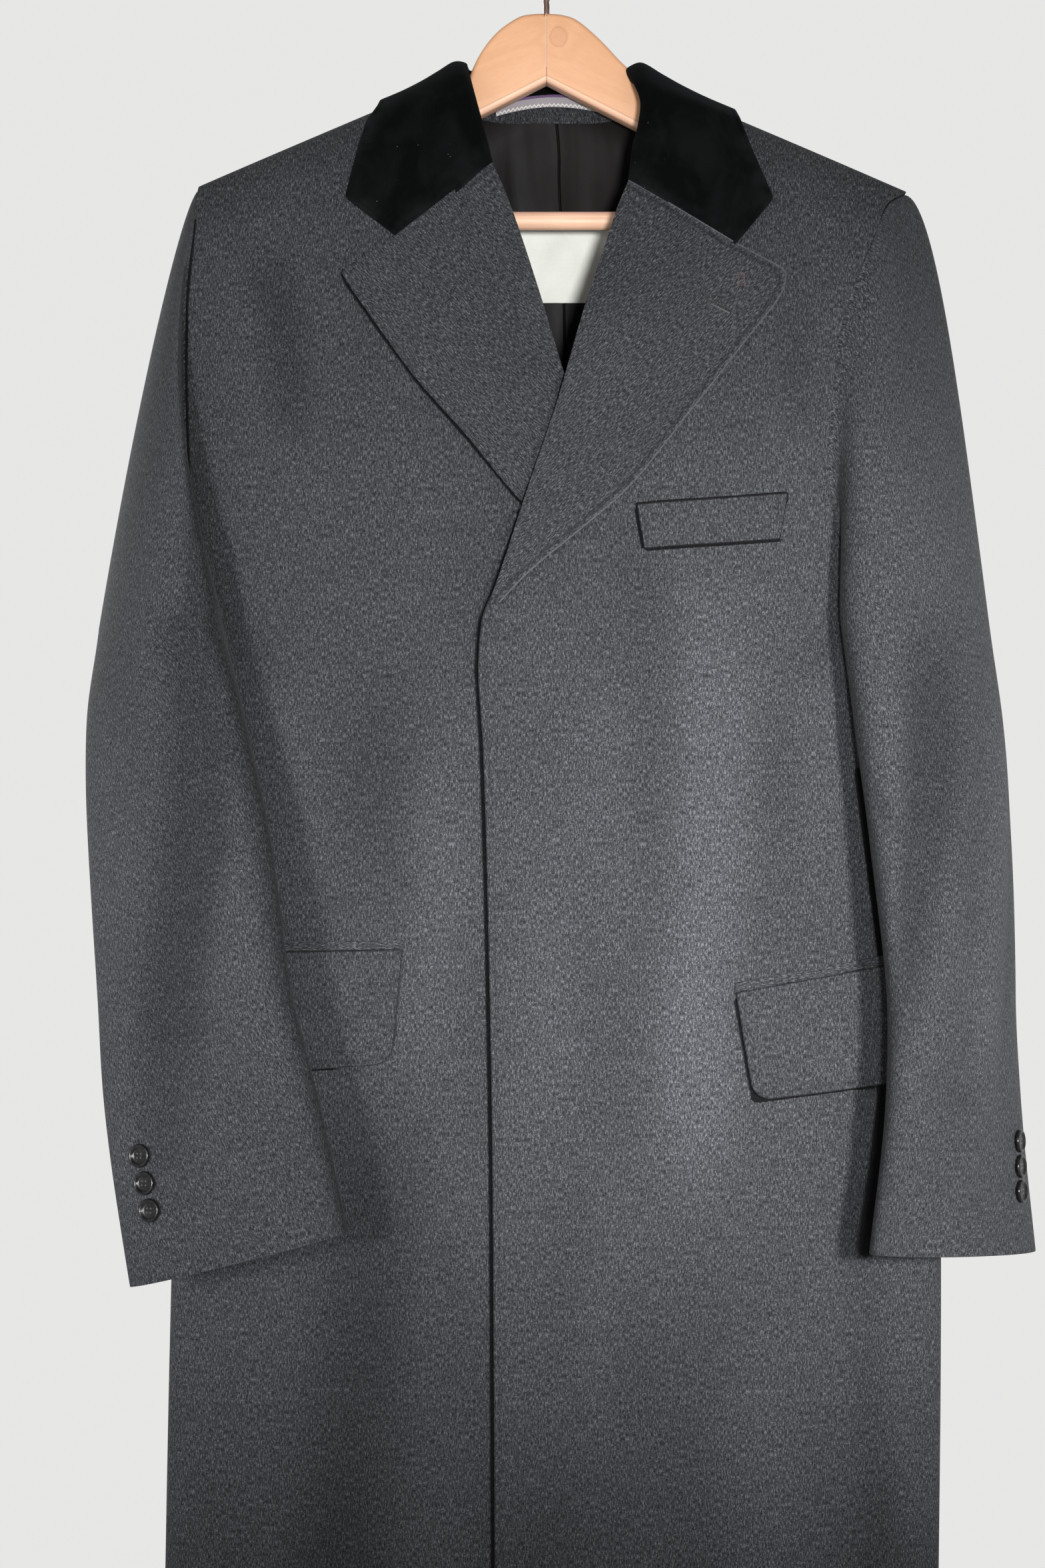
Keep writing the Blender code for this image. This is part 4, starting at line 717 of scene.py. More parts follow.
def patch_grid(corners, lift, columns, rows, rounding=0.0, swell=0.0):
    """Rows of points over a four-cornered patch, with its lower corners rounded."""
    top_in, top_out, low_out, low_in = corners
    length = abs(low_out.x - low_in.x)
    height = top_in.z - low_in.z
    grid = []
    for down in steps(rows):
        line = []
        for across in steps(columns):
            from_end = min(across, 1.0 - across) * length
            from_low = (1.0 - down) * height
            if rounding:
                from_end, from_low = rounded(from_end, from_low, rounding)
            part_across = from_end / length if across < 0.5 else 1.0 - from_end / length
            part = 1.0 - from_low / height
            x, z = (mix(mix(top_in[i], top_out[i], part_across),
                        mix(low_in[i], low_out[i], part_across), part) for i in (0, 1))
            point, normal = body_point(-1, x, z, corners[0].x > 0)
            edge = min(from_end, from_low) / 0.006
            line.append(point + normal * (lift + swell * clamp(edge)))
        grid.append(line)
    return grid


def collar_sections():
    """Sections of the folded collar: up the stand, over the fold, down the fall."""
    grid = []
    for station in COLLAR:
        fold, out = body_point(station.fold_face, station.fold_x, station.fold_z)
        if station.fold_face == 0:
            fold = Vector((station.fold_x, fold.y, station.fold_z))
            out = Vector((math.copysign(0.6, station.fold_x), 0.0, 0.8)).normalized()
        elif station.fold_face > 0:
            fold.y = body_y(1, station.fold_x, BACK_NECK_Z) + 0.002
            out = Vector((0.0, 1.0, 0.25)).normalized()
        edge, _ = body_point(station.edge_face, station.edge_x, station.edge_z)
        away = edge - fold
        away -= out * away.dot(out)
        away.normalize()
        line = [fold + away * station.stand - out * 0.0032, fold + away * 0.006 - out * 0.0032,
                fold + away * 0.0012 - out * 0.0006, fold + out * 0.0026]
        for part, height in COLLAR_FALL:
            x = mix(station.fold_x, station.edge_x, part)
            z = mix(station.fold_z, station.edge_z, part)
            if station is COLLAR[0]:
                z -= 0.0045 * math.sin(math.pi * part)
            point, normal = body_point(station.edge_face, x, z)
            if station.edge_face == 0:
                normal = ridge_normal(x)
                height += 0.0038 * (1.0 - part) ** 2
            if station.edge_face > 0:
                under = min(z, BACK_NECK_Z - 0.001, ridge_z(x) - 0.004)
                near, normal = body_point(1, x, under)
                point = Vector((x, mix(fold.y + 0.001, near.y, smooth(0.0, 0.45, part)), z))
            line.append(point + normal * height)
        grid.append(line)
    return grid


CORNER_ROUND = 0.075


def through_corners(points, place, corners):
    """As through(), but turning sharply, with a small radius, at the corners."""
    def straight(where):
        start = max([0] + [corner for corner in corners if corner <= where])
        end = min([len(points) - 1] + [corner for corner in corners if corner > where])
        return through(points[start:end + 1], where - start)

    for corner in corners:
        if abs(place - corner) < CORNER_ROUND:
            part = (place - corner) / (2 * CORNER_ROUND) + 0.5
            return (straight(corner - CORNER_ROUND) * (1 - part) ** 2
                    + points[corner] * (2 * part * (1 - part))
                    + straight(corner + CORNER_ROUND) * part ** 2)
    return straight(place)


def refined(grid, row_places, columns, corners):
    """The same surface with more rows and columns, on smooth curves through its points."""
    lines = [[through(line, (len(line) - 1) * part) for part in steps(columns)] for line in grid]
    turned = [[line[c] for line in lines] for c in range(columns + 1)]
    turned = [[through_corners(line, place, corners) for place in row_places] for line in turned]
    return [[turned[c][r] for c in range(columns + 1)] for r in range(len(row_places))]


# ---------------------------------------------------------------- making sheets
def lengths_along(points):
    total, found = 0.0, [0.0]
    for first, second in zip(points, points[1:]):
        total += (second - first).length
        found.append(total)
    return found


def grain_by_height(points, side=1):
    """Grain straight down the cloth: across by arc length from the middle, down by height."""
    grain = []
    for line in points:
        arcs = lengths_along(line)
        grain.append([(side * line[0].x + arc, point.z) for arc, point in zip(arcs, line)])
    return grain


def downs_of(points):
    return [lengths_along(list(reversed(column))) for column in zip(*points)]


def grain_by_length(points):
    """Grain down the columns, measured from the last row up."""
    downs, last = downs_of(points), len(points) - 1
    return [[(arc, downs[c][last - r]) for c, arc in enumerate(lengths_along(line))]
            for r, line in enumerate(points)]


def grain_of_sleeve(points, shift):
    """Grain down the sleeve: each column keeps its place, and down is measured along it."""
    across = lengths_along(points[CAP_STEPS + 12])
    downs, last = downs_of(points), len(points) - 1
    return [[(across[c] + shift, downs[c][last - r]) for c in range(len(line))]
            for r, line in enumerate(points)]


def grain_along(points, direction):
    """Grain along a direction given in x and z, for a piece that lies flat in front."""
    length = math.hypot(*direction)
    dx, dz = direction[0] / length, direction[1] / length
    return [[(point.x * dz - point.z * dx, point.x * dx + point.z * dz) for point in line]
            for line in points]


def from_middle(point):
    """Outward direction of the body's cloth at a point."""
    return Vector((point.x - MIDDLE_X, point.y, 0.0))


FULL_SHADE_RELIEF = 0.004        # height at which a fold's painted shade, or its painted highlight on a ridge, is full
FAR = 9.0                  # a distance at which an edge has no effect


def edge_shadow_distance(point, edges):
    """Distance from the edges that lie over a piece, counted in widths of the painted shadow
    line beside them; below zero under the cover."""
    nearest = FAR
    for line in edges:
        for (x0, z0, w0), (x1, z1, w1) in zip(line, line[1:]):
            along_x, along_z = x1 - x0, z1 - z0
            part = ((point.x - x0) * along_x + (point.z - z0) * along_z)
            part /= along_x ** 2 + along_z ** 2
            inside, part = 0.0 <= part <= 1.0, clamp(part)
            away = math.hypot(point.x - x0 - along_x * part, point.z - z0 - along_z * part)
            over = (point.x - x0) * along_z - (point.z - z0) * along_x > 0.0
            away = (-away if over and inside else away) / mix(w0, w1, part)
            if abs(away) < abs(nearest):
                nearest = away
    return nearest


def linked(name, data):
    piece = bpy.data.objects.new(name, data)
    bpy.context.scene.collection.objects.link(piece)
    return piece


def lay_sheet(name, points, grain, wall, material, turned_edges="", outward=from_middle,
              edge_round=None, relief=None, covers=()):
    """Lay a grid of cloth on its points. Its wall goes inwards from them. turned_edges are
    the sides (left, right, top, bottom) from which the distance is kept for stitching."""
    rows, columns = len(points) - 1, len(points[0]) - 1
    cloth = bmesh.new()
    weave = cloth.loops.layers.uv.new("UVMap")
    from_edge, along_edge, shade_relief_at, tucked = (
        cloth.verts.layers.float.new(layer)
        for layer in ("from_edge", "along_edge", "relief", "tucked"))
    bmesh.ops.create_grid(cloth, x_segments=columns, y_segments=rows, size=0.5, calc_uvs=True)
    place = {v: (round((0.5 - v.co.y) * rows), round((v.co.x + 0.5) * columns))
             for v in cloth.verts}
    border = []
    if "left" in turned_edges:
        border.append([line[0] for line in points])
    if "bottom" in turned_edges:
        border.append(points[-1])
    if "right" in turned_edges:
        border.append([line[-1] for line in reversed(points)])
    if "top" in turned_edges:
        border.append(points[0])
    nearest = None
    if border:
        finer = []
        total = 0.0
        for line in border:
            for first, second in zip(line, line[1:]):
                for part in (0.0, 0.25, 0.5, 0.75):
                    finer.append((first.lerp(second, part), total + (second - first).length * part))
                total += (second - first).length
            finer.append((line[-1], total))
        nearest = kdtree.KDTree(len(finer))
        for index, (point, _) in enumerate(finer):
            nearest.insert(point, index)
        nearest.balance()
    for face in cloth.faces:
        for corner in face.loops:
            r, c = place[corner.vert]
            corner[weave].uv = grain[r][c]
    for v, (r, c) in place.items():
        v.co = points[r][c]
        v[from_edge] = 1.0
        # the fold height kept here is painted by the cloth's finish as shade in hollows and as a
        # highlight on ridges
        v[shade_relief_at] = clamp(relief(v.co) / FULL_SHADE_RELIEF, -1.0, 1.0) if relief else 0.0
        # distance from the edges over this piece, for the painted shadow line beside them
        v[tucked] = edge_shadow_distance(v.co, covers) if covers else FAR
        if nearest:
            _, index, distance = nearest.find(v.co)
            v[from_edge] = distance
            v[along_edge] = finer[index][1]
    cloth.normal_update()
    facing = sum(face.normal.dot(outward(face.calc_center_median())) * face.calc_area()
                 for face in cloth.faces)
    if facing < 0:
        bmesh.ops.reverse_faces(cloth, faces=cloth.faces)
    mesh = bpy.data.meshes.new(name)
    cloth.to_mesh(mesh)
    cloth.free()
    mesh.shade_smooth()
    mesh.materials.append(material)
    piece = linked(name, mesh)
    if wall:
        thickness = piece.modifiers.new("wall", "SOLIDIFY")
        thickness.thickness = wall
        thickness.offset = -1.0
        soft = piece.modifiers.new("turned_edge", "BEVEL")
        soft.limit_method = "ANGLE"
        soft.angle_limit = math.radians(60)
        soft.width = edge_round or wall * 0.32
        soft.segments = 3
    return piece


def place_piece(piece, slot, *nodes):
    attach(piece, "root")
    if nodes:
        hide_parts(*nodes)
    return piece


def mesh_piece(name, shape, material, smooth_angle=40.0):
    """A closed shape as an object, with its normals outwards."""
    bmesh.ops.recalc_face_normals(shape, faces=shape.faces)
    mesh = bpy.data.meshes.new(name)
    shape.to_mesh(mesh)
    shape.free()
    mesh.shade_smooth()
    mesh.set_sharp_from_angle(angle=math.radians(smooth_angle))
    mesh.materials.append(material)
    return linked(name, mesh)


def tube_piece(name, points, radius, material, sides):
    """A thread or wire along points: a ring swept along them."""
    shape = bmesh.new()
    rings = []
    last = len(points) - 1
    side = None
    for index, point in enumerate(points):
        along = (points[min(index + 1, last)] - points[max(index - 1, 0)]).normalized()
        if side is None:
            side = along.orthogonal().normalized()
        side = (side - along * side.dot(along)).normalized()
        thickness = radius(index / last) if callable(radius) else radius
        turned = Matrix((side, along.cross(side), along)).transposed().to_4x4()
        ring = bmesh.ops.create_circle(shape, segments=sides, radius=thickness,
                                       matrix=Matrix.Translation(point) @ turned)
        rings.append(ring["verts"])
    for pair in zip(rings, rings[1:]):
        edges = [edge for ring in pair for edge in {e for v in ring for e in v.link_edges}
                 if edge.verts[0] in ring and edge.verts[1] in ring]
        bmesh.ops.bridge_loops(shape, edges=edges)
    bmesh.ops.holes_fill(shape, edges=[e for e in shape.edges if e.is_boundary])
    return mesh_piece(name, shape, material)


# ---------------------------------------------------------------- finishes
def shade(colour, factor):
    return tuple(c * factor for c in colour)


class Wiring:
    """A node tree being wired: add() makes a node and joins its inputs."""

    def __init__(self, tree):
        self.tree = tree

    def set(self, node, inputs):
        for key, value in inputs.items():
            socket = node.inputs[key]
            if isinstance(value, bpy.types.NodeSocket):
                self.tree.links.new(value, socket)
            elif socket.type == "RGBA" and len(value) == 3:
                socket.default_value = (*value, 1.0)
            else:
                socket.default_value = value

    def add(self, kind, inputs=None, out=0, **settings):
        node = self.tree.nodes.new("ShaderNode" + kind)
        for key, value in settings.items():
            setattr(node, key, value)
        self.set(node, inputs or {})
        return node.outputs[out]

    def weave(self):
        return self.add("UVMap", uv_map="UVMap")

    def where(self):
        return self.add("TexCoord", out=3)

    def attribute(self, name):
        return self.add("Attribute", attribute_name=name, out=2)

    def math(self, operation, *values):
        return self.add("Math", dict(enumerate(values)), operation=operation)

    def times(self, first, second, plus=None):
        if plus is None:
            return self.math("MULTIPLY", first, second)
        return self.math("MULTIPLY_ADD", first, second, plus)

    def apart(self, first, second):
        return self.math("ABSOLUTE", self.math("SUBTRACT", first, second), 0.0)

    def scaled(self, vector, scale, turn=0.0, shift=(0.0, 0.0, 0.0)):
        return self.add("Mapping", {"Vector": vector, "Scale": scale, "Rotation": (0.0, 0.0, turn),
                                    "Location": shift})

    def noise(self, vector, scale=1.0, detail=2.0, rough=0.5, warp=0.0):
        return self.add("TexNoise", {"Vector": vector, "Scale": scale, "Detail": detail,
                                     "Roughness": rough, "Distortion": warp})

    def bands(self, vector, scale, warp, direction="X", **more):
        return self.add("TexWave", {"Vector": vector, "Scale": scale, "Distortion": warp, **more},
                        out=1, wave_type="BANDS", bands_direction=direction)

    def ramp(self, value, stops):
        colour = self.add("ValToRGB", {"Fac": value})
        elements = colour.node.color_ramp.elements
        while len(elements) < len(stops):
            elements.new(1.0)
        for element, (place, tone) in zip(elements, stops):
            element.position = place
            element.color = (*tone, 1.0)
        return colour

    def blend(self, amount, first, second, mode="MIX"):
        return self.add("Mix", {0: amount, 6: first, 7: second}, out=2, data_type="RGBA",
                        blend_type=mode)

    def range(self, value, low, high, new_low=0.0, new_high=1.0, kind="LINEAR"):
        return self.add("MapRange", {"Value": value, "From Min": low, "From Max": high,
                                     "To Min": new_low, "To Max": new_high},
                        interpolation_type=kind)

    def fade(self, value, start, end, full=1.0):
        return self.range(value, start, end, full, 0.0, "SMOOTHSTEP")

    def bump(self, height, distance, strength, under=None):
        inputs = {"Height": height, "Distance": distance, "Strength": strength}
        if under is not None:
            inputs["Normal"] = under
        return self.add("Bump", inputs)


class Finish(Wiring):
    """A material being wired; dress() joins what was made to its shader."""

    def __init__(self, name, roughness, **sockets):
        self.material = bpy.data.materials.new(name)
        self.material.use_nodes = True
        super().__init__(self.material.node_tree)
        self.shader = self.tree.nodes["Principled BSDF"]
        self.set(self.shader, {"Roughness": roughness, **sockets})

    def dress(self, colour, normal, roughness, **sockets):
        named = {key.replace("_", " "): value for key, value in sockets.items()}
        self.set(self.shader, {"Base Color": colour, "Normal": normal, **named,
                               "Roughness": roughness})


def finish(name, roughness, **sockets):
    """Turn a function that wires a material into one that gives the material, wired once.
    A piece that needs a material of its own gives its name first."""
    def wrap(wire):
        def get(own=name, *values):
            material = bpy.data.materials.get(own)
            if material is None:
                made = Finish(own, roughness, **sockets)
                wire(made, *values)
                material = made.material
            return material
        return get
    return wrap


@finish("covert_cloth", 0.92)
def cloth_finish(made, stitched=0.35, outline=0.55):
    """Grey marl covert twill: light and dark flecks drawn out along the grain."""
    size = bpy.context.scene.coat_cloth
    weave = made.weave()
    wide, tall = size.fleck_width, size.fleck_length
    fleck, yarn, streak, cloudy = (
        made.noise(made.scaled(weave, (across, down, 1.0), shift=shift), 1.0, detail, rough)
        for across, down, shift, detail, rough in (
            (1 / wide, 1 / tall, (0.0, 0.0, 0.0), 2.0, 0.62),
            (1.9 / wide, 3.2 / tall, (3.1, 7.7, 0.0), 1.0, 0.5),
            (0.45 / wide, 0.22 / tall, (9.0, 2.0, 0.0), 3.0, 0.5),
            (14.0, 7.0, (0.0, 0.0, 0.0), 3.0, 0.5)))
    mixed = made.times(yarn, 0.36, made.times(fleck, 0.64))
    mixed = made.times(made.math("SUBTRACT", streak, 0.5), 0.14, mixed)
    ground, dark, light = size.ground, size.dark_fleck, size.light_fleck
    colour = made.ramp(mixed, [(0.405, dark), (0.485, ground), (0.525, ground), (0.625, light)])
    tone_and_fold_shade = made.range(cloudy, 0.35, 0.65, 0.93, 1.07)
    # painted shade: the cloth is painted darker in fold hollows and lighter on ridges
    tone_and_fold_shade = made.times(tone_and_fold_shade, made.times(made.attribute("relief"), size.painted_hollow_shade, 1.0))
    colour = made.blend(1.0, colour, made.add("CombineColor", {0: tone_and_fold_shade, 1: tone_and_fold_shade, 2: tone_and_fold_shade}),
                        "MULTIPLY")
    # painted shadow: a near-black line on the cloth beside each edge that lies over it
    tucked = made.attribute("tucked")
    tucked = made.times(made.fade(tucked, 0.55, 1.15, 0.92), made.range(tucked, -4.0, -3.0))
    colour = made.blend(tucked, colour, (0.0015, 0.0015, 0.0018))
    twill = made.bands(made.scaled(weave, (1 / size.twill_spacing,) * 3, 1.1), 0.159, 0.6,
                       **{"Detail": 1.0, "Detail Scale": 1.5})
    height = made.times(twill, 0.08, mixed)
    surface = made.bump(height, 0.0005, 0.36)
    edge = made.attribute("from_edge")
    off = made.apart(edge, size.stitch_inset)
    groove = made.fade(off, 0.0, 0.0016)
    along = made.attribute("along_edge")
    beat = made.math("SINE", made.times(along, 2 * math.pi / size.stitch_length))
    thread = made.times(made.range(off, 0.0002, 0.0006, 1.0, 0.0), made.range(beat, -0.55, -0.1))
    sunk = made.times(thread, 0.45, made.times(groove, -1.0))
    surface = made.bump(sunk, 0.0011, 0.75 * stitched, surface)
    # painted shade in the stitching's groove
    colour = made.blend(made.times(groove, 0.45 * stitched), colour, dark)
    colour = made.blend(made.times(thread, 0.30 * stitched), colour, ground)
    # painted shade along turned edges, or a painted highlight there when outline is below zero
    rim = made.fade(edge, 0.0003, 0.0013, abs(outline))
    colour = made.blend(rim, colour, light if outline < 0.0 else shade(dark, 0.4))
    made.dress(colour, surface, made.range(mixed, 0.3, 0.7, 0.97, 0.86),
               Sheen_Weight=0.03, Sheen_Roughness=0.5, Specular_IOR_Level=0.08)


@finish("black_velvet", 0.85)
def velvet_finish(made):
    trim = bpy.context.scene.coat_trim
    where = made.where()
    nap = made.noise(where, 2600.0, 3.0, 0.7)
    brushed = made.noise(made.scaled(where, (42.0, 42.0, 24.0)), 1.0, 4.0, 0.6, 0.4)
    lint = made.add("TexVoronoi", {"Vector": where, "Scale": 210.0})
    speck = made.times(made.range(lint, 0.045, 0.075, 1.0, 0.0),
                      made.range(made.noise(where, 75.0, 1.0), 0.60, 0.64))
    edge = made.attribute("from_edge")
    rim = made.fade(edge, 0.0016, 0.0042)
    # painted sheen: patches within 16 mm of the collar's edges are painted lighter
    patchy = made.times(made.range(edge, 0.0, 0.016, 1.0, 0.0),
                     made.range(made.noise(where, 55.0, 3.0), 0.42, 0.70))
    colour = made.blend(made.range(brushed, 0.42, 0.68), shade(trim.velvet, 0.6),
                        shade(trim.velvet, 2.0))
    colour = made.blend(patchy, colour, shade(trim.velvet, 3.6))
    colour = made.blend(speck, colour, (0.10, 0.105, 0.11))
    height = made.times(brushed, 0.8, nap)
    surface = made.bump(rim, 0.0011, 0.9, made.bump(height, 0.0007, 0.5))
    made.dress(colour, surface, made.range(brushed, 0.3, 0.7, 0.86, 1.0), Sheen_Weight=0.025,
               Sheen_Roughness=0.38, Sheen_Tint=(0.60, 0.68, 0.72), Specular_IOR_Level=0.04)


@finish("dark_satin", 0.4)
def satin_finish(made):
    trim = bpy.context.scene.coat_trim
    weave = made.weave()
    threads = made.noise(made.scaled(weave, (5200.0, 420.0, 1.0)), 1.0, 2.0)
    crush = made.noise(made.scaled(weave, (52.0, 7.0, 1.0)), 1.0, 2.0, 0.45, 0.2)
    parts = made.add("SeparateXYZ", {"Vector": weave})
    middle = made.apart(parts, trim.satin_seam)
    seam = made.fade(middle, 0.0, 0.0011)
    # painted sheen: the satin is painted lighter where its crush rises
    colour = made.blend(made.range(crush, 0.35, 0.70), trim.satin,
                        shade(trim.satin, 1.7))
    colour = made.blend(made.times(seam, 0.5), colour, shade(trim.satin, 0.3))
    height = made.times(crush, 2.0, made.times(threads, 0.08))
    height = made.times(seam, -0.9, height)
    made.dress(colour, made.bump(height, 0.0012, 0.5),
               made.range(crush, 0.3, 0.7, 0.40, 0.56), Specular_IOR_Level=0.07)


@finish("bare_label", 0.7)
def label_finish(made):
    weave = made.weave()
    woven = made.math("ADD", *(made.bands(weave, 420.0, 0.4, way) for way in "XY"))
    soft = made.noise(made.scaled(weave, (60.0, 60.0, 1.0)), 1.0, 3.0)
    colour = made.blend(made.range(soft, 0.3, 0.7), (0.70, 0.71, 0.65), (0.77, 0.78, 0.72))
    made.dress(colour, made.bump(woven, 0.0002, 0.35), made.range(woven, 0.0, 2.0, 0.62, 0.78),
               Sheen_Weight=0.1, Specular_IOR_Level=0.3)


@finish("woven_loop", 0.6)
def loop_finish(made):
    """Woven hanging loop: a silvery band, purple above and a light zigzag below."""
    weave = made.weave()
    parts = made.add("SeparateXYZ", {"Vector": weave})
    along, across = parts, parts.node.outputs[1]
    saw = made.math("PINGPONG", along, 0.0016)
    zigzag = made.apart(across, made.times(saw, 1.1, 0.0006))
    zigzag = made.range(zigzag, 0.0004, 0.0008, 1.0, 0.0)
    purple = made.range(across, 0.0066, 0.0070)
    threads = made.bands(made.scaled(weave, (1.0, 1.0, 1.0), 0.6), 460.0, 0.5)
    colour = made.blend(threads, (0.23, 0.20, 0.23), (0.48, 0.45, 0.47))
    colour = made.blend(zigzag, colour, (0.72, 0.71, 0.66))
    colour = made.blend(purple, colour, (0.13, 0.075, 0.17))
    height = made.math("ADD", threads, zigzag)
    made.dress(colour, made.bump(height, 0.0004, 0.6),
               made.range(threads, 0.0, 1.0, 0.48, 0.70), Specular_IOR_Level=0.35)


@finish("black_horn", 0.2)
def horn_finish(made):
    trim = bpy.context.scene.coat_trim
    where = made.where()
    cloudy = made.noise(where, 260.0, 3.0, 0.5, 1.2)
    fine = made.noise(where, 2400.0, 2.0)
    colour = made.blend(made.range(cloudy, 0.45, 0.72), trim.horn, shade(trim.horn, 3.0))
    made.dress(colour, made.bump(fine, 0.00004, 0.4), made.range(cloudy, 0.3, 0.7, 0.16, 0.28),
               Specular_IOR_Level=0.30, Coat_Weight=0.10)


@finish("dark_thread", 0.7)
def thread_finish(made, colour):
    where = made.where()
    twist = made.bands(where, 900.0, 1.0, "DIAGONAL")
    made.dress(made.blend(twist, shade(colour, 0.55), colour), made.bump(twist, 0.0002, 0.5),
               made.range(twist, 0, 1, 0.6, 0.8), Sheen_Weight=0.2)


@finish("pale_wood", 0.45)
def wood_finish(made, slope, seed):
    """Pale lacquered wood with its grain along the arm."""
    wood = bpy.context.scene.hanger_finish
    where = made.where()
    along = made.add("Mapping", {"Vector": where, "Rotation": (0.0, slope, 0.0),
                                 "Location": (seed, seed * 0.3, 0.0)})
    knot = made.add("VectorMath", {0: where, 1: (0.0079, -0.008, -0.0759)}, operation="SUBTRACT")
    knot = made.scaled(knot, (1.0, 0.25, 0.86))
    reach = made.add("VectorMath", {0: knot}, out=1, operation="LENGTH")
    near = made.fade(reach, 0.002, 0.020)
    bands = made.scaled(along, (7.0, 44.0, 62.0))
    wander = made.noise(bands, 1.0, 2.0, 0.5, 0.5)
    rings = made.math("SINE", made.math("ADD", made.times(wander, 22.0),
                                        made.times(near, 7.0)))
    pores = made.noise(made.scaled(along, (170.0, 1500.0, 1500.0)), 1.0, 2.0)
    warm = made.range(rings, -1.0, 1.0)
    colour = made.blend(warm, wood.wood, wood.wood_grain)
    colour = made.blend(made.range(pores, 0.50, 0.72, 0.0, 0.14), colour,
                        shade(wood.wood_grain, 0.62))
    uneven = made.times(made.noise(where, 260.0, 2.0), 0.0016, reach)
    ring = made.fade(made.apart(uneven, 0.0062), 0.0001, 0.0012, 0.34)
    inner = made.range(uneven, 0.0052, 0.0068, 0.16, 0.0)
    colour = made.blend(made.math("MAXIMUM", ring, inner), colour, (0.40, 0.17, 0.085))
    place = made.add("SeparateXYZ", {"Vector": where})
    rise = made.math("ADD", made.times(made.math("ABSOLUTE", place), ARM_LOWER_SLOPE, -ARM_LOWER_Z),
                     place.node.outputs[2])
    # painted highlight on the arm's rounded lower edge, and a painted shade line where the rounding
    # meets the face
    colour = made.blend(made.range(rise, 0.0036, 0.0042, 0.45, 0.0), colour, (0.90, 0.60, 0.47))
    colour = made.blend(made.range(made.apart(rise, 0.0042),
                                   0.0001, 0.0006, 0.45, 0.0), colour, (0.38, 0.16, 0.08))
    patchy = made.noise(where, 38.0, 4.0)
    made.dress(colour, made.bump(made.times(warm, 0.3, pores), 0.0001, 0.20),
               made.range(patchy, 0.3, 0.7, 0.36, 0.56),
               Specular_IOR_Level=0.4, Coat_Weight=0.12, Coat_Roughness=0.35)


@finish("cream_bar", 0.5)
def bar_finish(made):
    wood = bpy.context.scene.hanger_finish
    where = made.where()
    grain = made.noise(made.scaled(where, (12.0, 420.0, 420.0)), 1.0, 3.0, 0.55, 0.2)
    pores = made.noise(made.scaled(where, (120.0, 1700.0, 1700.0)), 1.0, 1.0)
    parts = made.add("SeparateXYZ", {"Vector": where})
    # painted shade on the bar's top: it is painted darker and redder there
    top = made.range(parts.node.outputs[2], BAR_Z + 0.0028, BAR_Z + 0.0052)
    colour = made.blend(made.range(grain, 0.35, 0.65), wood.bar, shade(wood.bar, 0.80))
    colour = made.blend(made.times(top, 0.55), colour, (0.66, 0.36, 0.30))
    made.dress(colour, made.bump(pores, 0.00015, 0.4), made.range(grain, 0.3, 0.7, 0.42, 0.60),
               Specular_IOR_Level=0.35)


@finish("drawn_wire", 0.35, Metallic=1.0)
def wire_finish(made):
    wood = bpy.context.scene.hanger_finish
    where = made.where()
    drawn = made.noise(made.scaled(where, (900.0, 900.0, 160.0)), 1.0, 3.0)
    stain = made.noise(where, 130.0, 4.0, 0.6)
    colour = made.blend(made.range(stain, 0.4, 0.7), wood.wire, shade(wood.wire, 0.5))
    made.dress(colour, made.bump(drawn, 0.0001, 0.3), made.range(stain, 0.3, 0.7, 0.26, 0.50))


@finish("plain_floor", 0.9)
def floor_finish(made):
    floor = bpy.context.scene.coat_studio.floor
    even = made.noise(made.where(), 3.0, 2.0)
    made.set(made.shader, {"Base Color": made.blend(made.range(even, 0.3, 0.7), floor,
                                                    shade(floor, 0.985)),
                           "Emission Color": floor, "Emission Strength": 0.22})


# ---------------------------------------------------------------- sizes and colours
COLOUR = {"subtype": "COLOR", "size": 3, "min": 0.0, "max": 1.0}
LENGTH = {"unit": "LENGTH", "precision": 5}


class CoatCloth(bpy.types.PropertyGroup):
    ground: FloatVectorProperty(name="Ground", description="Main grey of the marl cloth", **COLOUR,
                                default=(0.0278, 0.0289, 0.0319))
    dark_fleck: FloatVectorProperty(name="Dark fleck", description="Darkest yarns of the marl",
                                    **COLOUR, default=(0.0098, 0.0102, 0.0117))
    light_fleck: FloatVectorProperty(name="Light fleck", description="Lightest yarns of the marl",
                                     **COLOUR, default=(0.089, 0.093, 0.100))
    fleck_width: FloatProperty(name="Fleck width", description="Width of a fleck across the grain",
                               default=0.00074, **LENGTH)
    fleck_length: FloatProperty(name="Fleck length",
                                description="Length of a fleck down the grain", default=0.0029,
                                **LENGTH)
    twill_spacing: FloatProperty(name="Twill spacing",
                                 description="From one twill line to the next", default=0.0009,
                                 **LENGTH)
    # painted shade: how much darker fold hollows, and how much lighter ridges, are painted
    painted_hollow_shade: FloatProperty(name="Hollow shade",
                                description="How much darker hollows are than ridges",
                                default=0.36, min=0.0, max=1.0)
    wall: FloatProperty(name="Cloth wall", description="Thickness of cloth with its interlining",
                        default=0.0018, **LENGTH)
    stitch_inset: FloatProperty(name="Stitch inset",
                                description="Edge stitching's distance from an edge",
                                default=0.0038, **LENGTH)
    stitch_length: FloatProperty(name="Stitch length", description="Length of one edge stitch",
                                 default=0.0026, **LENGTH)


